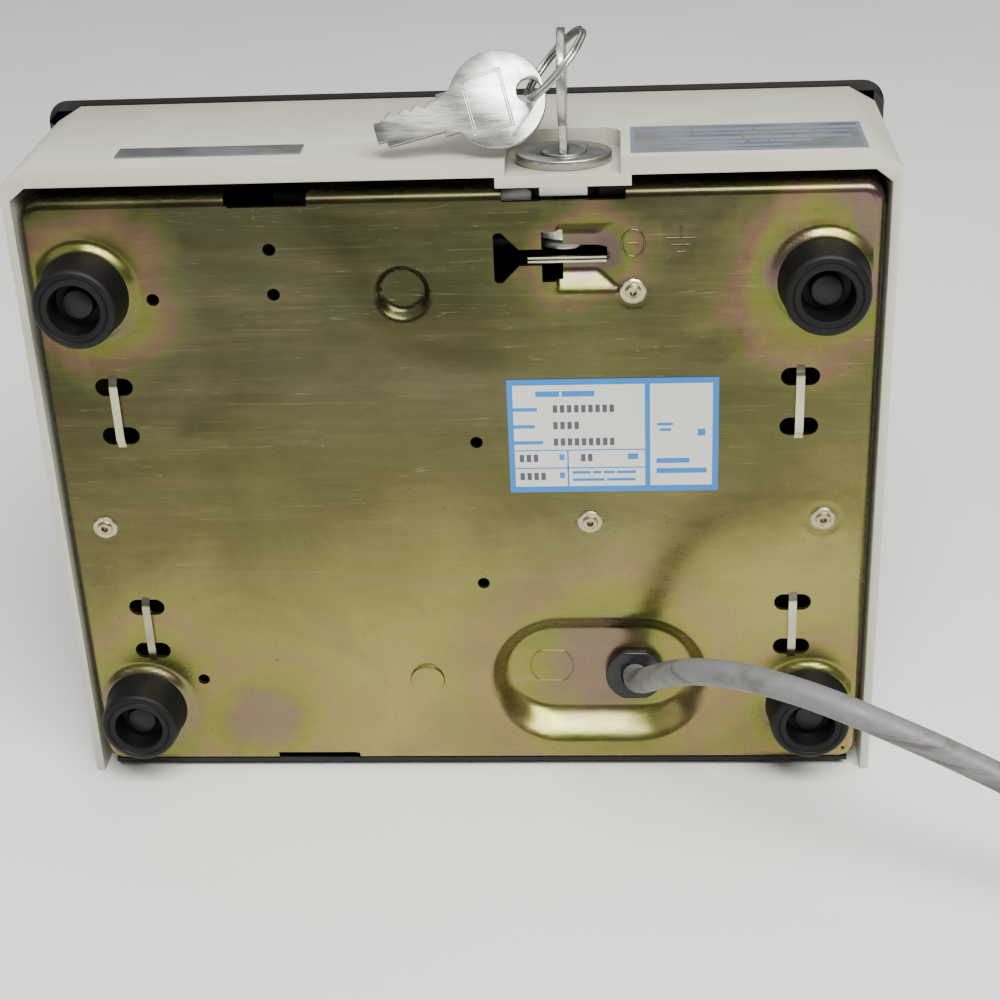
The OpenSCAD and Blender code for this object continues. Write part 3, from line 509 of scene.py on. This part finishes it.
def plate_rim():
    """The bend and flange around the edge, left out at the notches."""
    corner = 4.5
    path = []
    for cx, cb, start in ((HALF_W - corner, corner, -90), (HALF_W - corner, DEEP - corner, 0),
                          (-HALF_W + corner, DEEP - corner, 90), (-HALF_W + corner, corner, 180)):
        for i in range(9):
            a = math.radians(start + 90 * i / 8)
            path.append((cx + corner * math.cos(a), cb + corner * math.sin(a), math.cos(a), math.sin(a)))
    dense = []
    for k, p in enumerate(path):
        q = path[(k + 1) % len(path)]
        n = max(1, int(math.hypot(q[0] - p[0], q[1] - p[1]) / 0.8))
        dense += [tuple(p[c] + (q[c] - p[c]) * i / n for c in range(4)) for i in range(n)]

    def bend(start):
        """The bend's profile from the flat to the flange's edge, start mm in from the outer face."""
        r = RIM - start
        arc = [math.radians(15 * k) for k in range(1, 7)]
        return ([(RIM, start)] + [(start + r * (1 - math.sin(a)), start + r * (1 - math.cos(a))) for a in arc]
                + [(start, FLANGE)])

    loop = bend(0.0) + bend(SHEET)[::-1]
    verts, faces = [], []
    for x, b, nx, nb in dense:
        for off, up in loop:
            verts.append(on_plate(x - nx * off, b - nb * off, up))
    m, n = len(loop), len(dense)

    def cut(i):
        x, b = dense[i % n][0], dense[i % n][1]
        if b < 2 and any(lo < x < hi for lo, hi in NOTCHES):
            return True
        return b > 147 and REAR_NOTCH[0] < x < REAR_NOTCH[1]

    for i in range(n):
        if cut(i) or cut(i + 1):
            continue
        j = (i + 1) % n
        for k in range(m):
            faces.append((i * m + k, i * m + (k + 1) % m, j * m + (k + 1) % m, j * m + k))
    return verts, faces


def build_plate():
    step = 0.75
    slab = mesh_object("plate_slab", *plate_slab(step))
    bpy.context.scene.collection.objects.link(slab)
    verts, faces = [], []
    for outline in cutters():
        v, f = prism(outline)
        faces += [tuple(i + len(verts) for i in face) for face in f]
        verts += v
    tool = mesh_object("plate_tool", verts, faces, smooth=False)
    for o in (slab, tool):
        work = bmesh.new()
        work.from_mesh(o.data)
        bmesh.ops.recalc_face_normals(work, faces=work.faces)
        work.to_mesh(o.data)
        work.free()
    bpy.context.scene.collection.objects.link(tool)
    cut = slab.modifiers.new("cut", "BOOLEAN")
    cut.object = tool
    cut.operation = "DIFFERENCE"
    cut.solver = "EXACT"
    cut.use_self = True
    apply_modifiers(slab)
    bpy.data.objects.remove(tool)
    for v in slab.data.vertices:
        x, back = v.co.x / MM, (PLATE_TOP - v.co.z) / MM
        v.co.y += pressed(x, back) * MM
    rim_verts, rim_faces = plate_rim()
    work = bmesh.new()
    work.from_mesh(slab.data)
    rim = bpy.data.meshes.new("rim")
    rim.from_pydata([tuple(v) for v in rim_verts], [], rim_faces)
    work.from_mesh(rim)
    bmesh.ops.remove_doubles(work, verts=work.verts, dist=2e-6)
    bmesh.ops.recalc_face_normals(work, faces=work.faces)
    work.to_mesh(slab.data)
    work.free()
    slab.name = "base_plate_sheet"
    for p in slab.data.polygons:
        p.use_smooth = True
    slab.data.set_sharp_from_angle(angle=math.radians(40))
    place(slab, "chassis", "zinc_yellow")
    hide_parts("base_plate")


def bridge(name, x, b):
    """The strip left between a lance's slots, bowed out from the sheet."""
    n, w, t, reach, bow = 24, 0.95, 0.9, 9.2, 1.05
    verts, faces = [], []
    for i in range(n + 1):
        s = -reach + 2 * reach * i / n
        out = -bow * smooth((reach - abs(s)) / 2.6)
        for dx, dt in ((-w, 0), (w, 0), (w, t), (-w, t)):
            verts.append(on_plate(x + dx, b + s, out + dt + 0.02))
    for i in range(n):
        for k in range(4):
            a = i * 4
            faces.append((a + k, a + (k + 1) % 4, a + 4 + (k + 1) % 4, a + 4 + k))
    faces += [(3, 2, 1, 0), (n * 4, n * 4 + 1, n * 4 + 2, n * 4 + 3)]
    obj = mesh_object(name, verts, faces)
    obj.data.set_sharp_from_angle(angle=math.radians(40))
    return place(obj, "chassis", "zinc_yellow", BRIDGE_METAL)


def circle(r, n, close=0):
    """Points (x, y) around a circle; close=1 repeats the first one."""
    return [(r * math.cos(a), r * math.sin(a)) for a in (2 * math.pi * i / n for i in range(n + close))]


def lathe(name, spots, profile, slot_name, node=None, material=None, n=48):
    """Turned pieces standing on the plate; profile is (radius, up) in mm."""
    verts, faces = [], []
    for x, b in spots:
        first = len(verts)
        for r, up in profile:
            verts += [on_plate(x + u, b + v, up) for u, v in circle(r, n)]
        for k in range(len(profile) - 1):
            a = first + k * n
            faces += [(a + i, a + (i + 1) % n, a + n + (i + 1) % n, a + n + i) for i in range(n)]
    obj = mesh_object(name, verts, faces)
    work = bmesh.new()
    work.from_mesh(obj.data)
    bmesh.ops.remove_doubles(work, verts=work.verts, dist=1e-6)
    bmesh.ops.recalc_face_normals(work, faces=work.faces)
    work.to_mesh(obj.data)
    work.free()
    obj.data.set_sharp_from_angle(angle=math.radians(35))
    place(obj, "chassis", slot_name, material)
    if node:
        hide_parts(node)
    return obj


def ridge(name, lines, radius=0.28, up=0.08):
    """Raised lines on the plate, half sunk in it; each line is a list of (x, back)."""
    data = bpy.data.curves.new(name, "CURVE")
    data.dimensions = "3D"
    data.bevel_depth = radius * MM
    data.bevel_resolution = 3
    data.use_fill_caps = True
    for line in lines:
        s = data.splines.new("POLY")
        s.points.add(len(line) - 1)
        for p, (x, b) in zip(s.points, line):
            p.co = (*on_plate(x, b, up), 1)
    obj = bpy.data.objects.new(name, data)
    return place(obj, "chassis", "zinc_yellow")


def double_d(x, b, r, flat, n=48):
    """A circle with two flats, for the knockout's outline."""
    return [(x + u, b + max(min(v, flat), -flat)) for u, v in circle(r, n, 1)]


# turned profiles, (radius, up) in mm; up is below 0 outside the sheet
BOSS_PROFILE = [(4.9, 0.1), (4.3, -0.1), (4.0, -0.68), (3.75, -0.8), (0.01, -0.8)]
RIVET_PROFILE = [(2.9, 0.5), (2.9, -0.12), (2.6, -0.32), (2.05, -0.26), (1.85, -0.3), (1.7, -0.7),
                 (1.3, -0.9), (0.85, -0.82), (0.7, -0.4), (0.6, 0.3), (0.01, 0.3)]
FOOT_PROFILE = [(1.9, -1.5), (10.25, -1.5), (10.05, -1.9), (9.42, -9.9), (9.2, -10.5), (8.7, -10.9),
                (8.2, -11.0), (7.75, -11.0), (7.6, -10.8), (7.4, -10.8), (7.25, -11.0), (6.4, -11.0),
                (5.95, -10.8), (5.75, -10.3), (5.6, -5.6), (5.3, -5.2), (4.2, -5.0), (1.9, -5.0),
                (1.9, -1.5)]
EARTH_LINES = [[(51.1, 8.9), (51.1, 11.6)], [(47.9, 11.6), (54.3, 11.6)], [(49.0, 13.2), (53.2, 13.2)],
               [(50.1, 14.8), (52.1, 14.8)]]
MARK_OVAL = [(40.7 + 2.5 * math.cos(a), 12.6 + 3.1 * math.sin(a)) for a in
             (math.radians(15 * k) for k in range(25))]
MARK_BAR = [(39.6, 12.6), (41.8, 12.6)]
TAB_X, TAB_UP, TAB_BACKS = (17.5, 34.8), (0.9, 1.9), ((15.75, 16.2), (16.6, 17.1))
BLOCK_FACES = [(0, 1, 3, 2), (4, 6, 7, 5), (0, 4, 5, 1), (2, 3, 7, 6), (0, 2, 6, 4), (1, 5, 7, 3)]

build_plate()
lathe("drawn_boss", [BOSS_AT], BOSS_PROFILE, "zinc_yellow")
lathe("rivet_heads", RIVETS, RIVET_PROFILE, "steel", "base_rivets", RIVET_METAL)
lathe("feet_turned", FOOT_SPOTS, FOOT_PROFILE, "rubber", "feet")
ridge("earth_symbol", EARTH_LINES)
ridge("embossed_mark", [MARK_OVAL, MARK_BAR])
ridge("knockout_line", [double_d(*KNOCKOUT, 5.3, 4.4)], 0.2, 6.06)
for k, backs in enumerate(TAB_BACKS):
    corners = [on_plate(x, b, up) for x in TAB_X for b in backs for up in TAB_UP]
    tab = mesh_object(f"latch_tab_{k + 1}", corners, BLOCK_FACES, smooth=False)
    place(tab, "chassis", "zinc_yellow", BRIDGE_METAL)
for k, (x, b) in enumerate(LANCES):
    bridge(f"lance_bridge_{k + 1}", x, b)

# ---------------------------------------------------------------- cord


def spline_points(points, steps):
    """Catmull-Rom through the points."""
    out = []
    for i in range(len(points) - 1):
        p0, p1 = points[max(i - 1, 0)], points[i]
        p2, p3 = points[i + 1], points[min(i + 2, len(points) - 1)]
        for k in range(steps):
            t = k / steps
            out.append(0.5 * (2 * p1 + (p2 - p0) * t + (2 * p0 - 5 * p1 + 4 * p2 - p3) * t * t
                              + (3 * p1 - p0 - 3 * p2 + p3) * t ** 3))
    return out + [points[-1]]


CORD_D = 0.0062
PLUG_ANGLE = math.radians(45)
# the cord's way from its hole in the plate to the coil on the table, in mm
ROUTE = [Vector(p) * MM for p in (
    (40.2, -89.5, 25.7), (40.5, -94, 27.2), (41.2, -98.5, 29.6), (42.4, -104, 33.2), (45, -111, 38.6),
    (49, -118.5, 44.6), (54.3, -125.5, 49.4), (60.8, -131.5, 52.5), (68.5, -137, 54), (78, -142, 53.6),
    (88, -146, 51.4), (98, -149.3, 48.3), (108, -152, 44.6), (119, -154.5, 39.8), (131, -157, 33.5),
    (144, -158.8, 25.8), (157, -159.5, 17.6), (169, -159.5, 10.6), (180, -159, 5.8), (190, -158.6, 3.6))]
COIL_AT = (coil_lo + coil_hi) / 2
MEAN_R, STEP = 0.034, 0.00625


def coil_points(per_turn):
    """Bottom layer inwards, then the top layer outwards, anticlockwise from the -Y side."""
    out = []
    low_z, high_z = CORD_D / 2 + 0.0001, CORD_D / 2 + 0.0054
    low_outer, low_inner, high_inner = (MEAN_R + k * STEP for k in (1.5, -1.5, -1.0))
    climb, landed, total = 3.75, 4.25, 7.375  # turns from the start of the coil
    n = int(total * per_turn)
    for i in range(n + 1):
        turn = total * i / n
        if turn <= climb:
            r, z = low_outer - STEP * smooth_steps(turn), low_z
        elif turn <= landed:
            s = smooth((turn - climb) / (landed - climb))
            r, z = low_inner * (1 - s) + high_inner * s, low_z * (1 - s) + high_z * s
        else:
            r, z = high_inner + STEP * min(smooth_steps(turn - landed), 2), high_z
        a = math.radians(360 * turn - 90)
        out.append(Vector((COIL_AT.x + r * math.cos(a), COIL_AT.y + r * math.sin(a), z)))
    return out


def smooth_steps(turn):
    """One step per turn, made over the last third of it."""
    whole = math.floor(turn)
    return whole + smooth((turn - whole - 0.66) / 0.34)


def cord_tube(name, points):
    data = bpy.data.curves.new(name, "CURVE")
    data.dimensions = "3D"
    data.bevel_depth = CORD_D / 2
    data.bevel_resolution = 6
    data.use_fill_caps = True
    s = data.splines.new("POLY")
    s.points.add(len(points) - 1)
    for p, q in zip(s.points, points):
        p.co = (*q, 1)
    s.use_smooth = True
    return place(bpy.data.objects.new(name, data), "chassis", "cord_grey")


coil = coil_points(64)
plug_dir = Vector((-math.sin(PLUG_ANGLE), math.cos(PLUG_ANGLE), 0))
leaving = coil[-1]
plug_lo, plug_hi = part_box("plug_body")
plug_mid_z = (plug_lo.z + plug_hi.z) / 2
tail = [leaving + plug_dir * 0.004 + Vector((0, 0, 0.0004)),
        leaving + plug_dir * 0.009 + Vector((0, 0, plug_mid_z - leaving.z))]
centreline = spline_points(ROUTE + [coil[0]], 4)[:-1] + coil + tail
cord = cord_tube("power_cord_shown", centreline)
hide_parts("power_cord", "cord_coil")

# ---------------------------------------------------------------- all other pieces

for node, obj in frame["nodes"].items():
    paint(obj, SLOT_OF[node])


def rounded_hood(node, radius):
    """The hood with the edges between its sides and its other faces rounded."""
    obj = softened(node, 0.0006)
    work = cleaned(node)
    chosen = []
    for e in work.edges:
        at_side = all(abs(abs(v.co.x) - hood_hi.x) < 1e-5 for v in e.verts)
        if not at_side or len(e.link_faces) != 2 or e.calc_face_angle(0) < 0.5:
            continue
        outer = [f for f in e.link_faces if abs(f.normal.x) < 0.5]
        if outer and outer[0].calc_area() > 2e-3:
            chosen.append(e)
    bmesh.ops.bevel(work, geom=chosen, offset=radius, segments=6, affect="EDGES", profile=0.5,
                    clamp_overlap=True)
    for f in work.faces:
        f.smooth = True
    work.to_mesh(obj.data)
    work.free()
    obj.data.set_sharp_from_angle(angle=math.radians(30))


def printed(name, node, origin, along, down, out, size, face, groups):
    """A label: its sheet, then flat areas of other inks on it, as (u0, v0, u1, v1) in mm from its corner."""
    obj = mesh_object(name, [], [])
    verts, faces, kinds = [], [], []
    w, h = size
    corners = [origin + (along * u + down * v) * MM + out * up for up in (-0.00022, 0) for u, v in
               ((0, 0), (w, 0), (w, h), (0, h))]
    verts += corners
    faces += [(4, 5, 6, 7), (0, 1, 5, 4), (1, 2, 6, 5), (2, 3, 7, 6), (3, 0, 4, 7), (3, 2, 1, 0)]
    kinds += [0] * 6
    for k, (_, areas) in enumerate(groups):
        lift = out * (0.00001 + 0.000008 * k)
        for u0, v0, u1, v1 in areas:
            n = len(verts)
            verts += [origin + (along * u + down * v) * MM + lift
                      for u, v in ((u0, v0), (u1, v0), (u1, v1), (u0, v1))]
            faces.append((n, n + 1, n + 2, n + 3))
            kinds.append(k + 1)
    obj.data.from_pydata([tuple(v) for v in verts], [], faces)
    place(obj, BODY_OF[node], SLOT_OF[node], face)
    for material, _ in groups:
        obj.data.materials.append(material)
    for p, k in zip(obj.data.polygons, kinds):
        p.material_index = k
    work = bmesh.new()
    work.from_mesh(obj.data)
    for f in work.faces:
        f.normal_update()
        on_top = f.calc_center_median().dot(out) > origin.dot(out) - 0.0001
        if on_top and f.normal.dot(out) < -0.5:
            f.normal_flip()
    work.to_mesh(obj.data)
    work.free()
    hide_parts(node)


def dashes(u, v, height, lengths, space=0.5):
    """A row of plain bars standing for a line of print."""
    out = []
    for n in lengths:
        out.append((u, v, u + n, v + height))
        u += n + space
    return out


X, DOWN_PLATE, DOWN_FRONT = Vector((1, 0, 0)), Vector((0, 0, -1)), Vector((0, -1, 0))
label_lo, label_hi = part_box("rating_label")
blue_print = [(1.3, 17.7, 31.4, 18.0), (1.3, 22.3, 31.4, 22.6), (13.4, 18.0, 13.8, 27.2),
              (43.4, 12.8, 45.2, 14.6)]
for row in ((6.5, 2.9, 1.4, (5.5, 7.5)), (1.2, 7.0, 0.9, (5.6,)), (1.2, 11.3, 0.9, (5.0,)),
            (1.2, 15.4, 0.9, (6.8,)), (11.6, 18.9, 1.5, (1.2,)), (27.4, 18.9, 1.5, (2.4,)),
            (11.6, 23.6, 1.5, (1.2,)), (14.6, 23.3, 0.7, (4.2, 2.0, 2.6, 4.4)), (14.6, 25.2, 0.7, (7.4, 6.6)),
            (34.2, 11.2, 0.7, (3.6,)), (34.8, 12.6, 0.7, (2.6,)), (34.0, 20.2, 1.3, (7.6,)),
            (34.0, 22.8, 1.3, (11.6,))):
    blue_print += dashes(*row)
# plain blocks in rows, each (v, how many, where the row starts)
dark_print = [(u, v, u + 1.05, v + 1.9) for v, n, start in ((6.4, 9, 10.4), (10.6, 4, 10.4), (14.8, 9, 10.4),
                                                             (18.9, 3, 2.4), (23.6, 4, 2.4), (18.9, 2, 16.6))
              for u in (start + 1.62 * i for i in range(n))]
white = [(1.3, 1.4, 31.4, 27.2), (32.6, 1.4, 46.8, 27.2)]
printed("rating_label_printed", "rating_label", Vector((label_lo.x, label_lo.y, label_hi.z)), X, DOWN_PLATE,
        Vector((0, -1, 0)), (48.2, 28.7), MAT["blue_label"],
        [(LABEL_WHITE, white), (MAT["blue_label"], blue_print), (LABEL_INK, dark_print)])
note_lo, note_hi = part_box("caution_label")
note_lines = []
for row in ((1.8, 2.8, 2.0, (11.5, 13, 4, 8.5, 9.0)), (5.5, 6.0, 1.3, (8, 10, 6, 9, 7)),
            (8.6, 9.2, 2.0, (15.5, 10.5, 3.5, 8.2)), (6.5, 12.4, 1.3, (7, 11, 4, 9)),
            (6.5, 15.2, 1.3, (9, 12, 6))):
    note_lines += dashes(*row)
printed("caution_label_printed", "caution_label", Vector((note_lo.x, note_hi.y, note_hi.z)), X, DOWN_FRONT,
        Vector((0, 0, 1)), (50.6, 18.8), LABEL_BORDER,
        [(LABEL_SILVER, [(0.9, 0.9, 49.7, 17.9)]), (LABEL_BORDER, note_lines)])

# how wide each piece's edges are rounded, in metres
for node, width in {
    "lower_case": 0.0005, "lens_ring": 0.0004, "lock_barrel": 0.0005, "lock_plug": 0.0003,
    "inserted_key": 0.0003, "spare_key": 0.0003, "lock_cam": 0.0002, "foot_screws": 0.0004,
    "cord_bushing": 0.0005, "plug_body": 0.0012, "plug_pins": 0.0003, "cord_tie": 0.0002,
    "back_plate": 0.0002, "left_frame": 0.0002, "right_frame": 0.0002, "print_bracket": 0.0002,
    "card_guide_front": 0.0003, "card_guide_rear": 0.0003, "card_stop": 0.0003, "hammer": 0.0004,
    "drive_motor": 0.0006, "ribbon_cassette": 0.0005, "ribbon_spool_left": 0.0003,
    "ribbon_spool_right": 0.0003, "clock_bracket": 0.0002, "movement": 0.0008,
    "transformer_core": 0.0004, "transformer_coil": 0.001, "circuit_board": 0.0002,
    "solenoid_coil": 0.0004,
}.items():
    softened(node, width)
rounded_hood("hood", 0.0055)

# the dial's plain numbers and minute marks
clock_joint = next(j for j in frame["record"]["behaviour"]["joints"] if j["name"] == "minute_hand_turn")
CLOCK_AT = Vector(clock_joint["pos_m"])
OUT = -Vector(clock_joint["axis"]).normalized()
TOP = OUT.cross(X)
DIAL_UP = CLOCK_AT - OUT * 0.01146


def on_dial(radius, turn, across=0.0):
    """A point on the dial, turn degrees clockwise from its top and across mm to the side of that radius."""
    a = math.radians(turn)
    outward = X * math.sin(a) + TOP * math.cos(a)
    aside = X * math.cos(a) - TOP * math.sin(a)
    return DIAL_UP + outward * radius * MM + aside * across * MM


marks, mark_faces = [], []
for k in range(60):
    inner, half = (43.0, 0.8) if k % 5 == 0 else (45.5, 0.3)
    n = len(marks)
    marks += [on_dial(r, 6 * k, w) for r, w in ((inner, -half), (inner, half), (48, half), (48, -half))]
    mark_faces.append((n + 3, n + 2, n + 1, n))
place(mesh_object("dial_marks", marks, mark_faces, smooth=False), "chassis", "white_enamel", LABEL_INK)
turned = Matrix((X, TOP, OUT)).transposed()
for k in range(1, 13):
    text = bpy.data.curves.new("numeral", "FONT")
    text.body = str(k)
    text.size = 0.011
    text.align_x, text.align_y = "CENTER", "CENTER"
    text.extrude = 0.00003
    carrier = bpy.data.objects.new("numeral", text)
    bpy.context.scene.collection.objects.link(carrier)
    bpy.context.view_layer.update()
    flat = bpy.data.meshes.new_from_object(carrier)
    bpy.data.objects.remove(carrier)
    flat.transform(turned.to_4x4())
    flat.transform(Matrix.Translation(on_dial(36.5, 30 * k) + OUT * 0.00003))
    place(bpy.data.objects.new(f"dial_number_{k}", flat), "chassis", "white_enamel", LABEL_INK)

# a plain raised frame on each side of the spare key's bow
key_lean, key_turn = math.radians(-27.6), math.radians(165.6)
along_key = Vector((math.cos(key_turn), math.sin(key_turn) * math.sin(key_lean),
                    -math.sin(key_turn) * math.cos(key_lean)))
face_key = Vector((0, math.cos(key_lean), math.sin(key_lean)))
across_key = face_key.cross(along_key)
BOW_AT = Vector((12 * MM, 4 * MM + PLATE_Y, PLATE_TOP + 18.8 * MM))
FRAME_SHIFT = 2.2  # mm from the bow's middle towards the key's tip
FRAME_OUT = 0.82  # mm from the middle of the key's thickness
frame_data = bpy.data.curves.new("key_frame", "CURVE")
frame_data.dimensions = "3D"
frame_data.bevel_depth = 0.22 * MM
for side in (-1, 1):
    for half_l, half_w in ((4.4, 6.3), (3.9, 5.8)):
        s = frame_data.splines.new("POLY")
        s.points.add(3)
        s.use_cyclic_u = True
        for p, (u, v) in zip(s.points, ((-1, -1), (1, -1), (1, 1), (-1, 1))):
            q = BOW_AT + along_key * (FRAME_SHIFT + u * half_l) * MM + across_key * v * half_w * MM
            p.co = (*(q + face_key * side * FRAME_OUT * MM), 1)
place(bpy.data.objects.new("key_frame", frame_data), "spare", "chrome")

# ---------------------------------------------------------------- stage, light and camera


def area(name, at, look, size, power, colour):
    data = bpy.data.lights.new(name, "AREA")
    data.energy = power
    data.color = colour
    data.size = size
    obj = bpy.data.objects.new(name, data)
    obj.location = at
    obj.rotation_euler = (Vector(look) - Vector(at)).to_track_quat("-Z", "Y").to_euler()
    bpy.context.scene.collection.objects.link(obj)


floor = mesh_object("floor", [(-4, -4, 0), (4, -4, 0), (4, 4, 0), (-4, 4, 0)], [(0, 1, 2, 3)], smooth=False)
bpy.context.scene.collection.objects.link(floor)
f = Nodes("Table")
f.colour(f.mix(f.ramp(f.noise(3, 5), (0.35, 0), (0.65, 1)), (0.76, 0.775, 0.73), (0.82, 0.835, 0.79)))
f.rough(f.ramp(f.noise(20, 4), (0.3, 0.5), (0.7, 0.62)))
f.bump(f.noise(60, 3), 0.0001, 0.3)
floor.data.materials.append(f.m)

area("key", (0.55, -0.85, 1.15), (0, -0.05, 0.08), 0.7, 26, (1.0, 0.995, 0.97))
area("front", (0.02, -0.85, 1.2), (0, -0.05, 0.05), 0.45, 16, (1.0, 1.0, 0.98))
area("fill", (-0.7, -0.35, 0.9), (0, 0, 0.08), 1.0, 3.5, (0.95, 0.97, 1.0))
area("top", (0.2, 0.5, 1.4), (0, 0, 0.1), 1.2, 9, (1.0, 1.0, 1.0))
world = bpy.data.worlds.new("room")
bpy.context.scene.world = world
world.use_nodes = True
world.node_tree.nodes["Background"].inputs[0].default_value = (0.93, 0.95, 1.0, 1)
world.node_tree.nodes["Background"].inputs[1].default_value = 0.22

camera_data = bpy.data.cameras.new("camera")
camera_data.sensor_width = 36
camera_data.lens = 67.5
camera = bpy.data.objects.new("camera", camera_data)
bpy.context.scene.collection.objects.link(camera)
CAMERA_AT = (0.0383, -0.4837, 0.2807)
right = Vector((0.9977, 0.0536, -0.0413))
up = Vector((0.0118, 0.4635, 0.8860))
turned_to = Matrix((right, up, right.cross(up))).transposed().to_4x4()
camera.matrix_world = Matrix.Translation(CAMERA_AT) @ turned_to
camera_data.clip_start = 0.01
bpy.context.scene.camera = camera
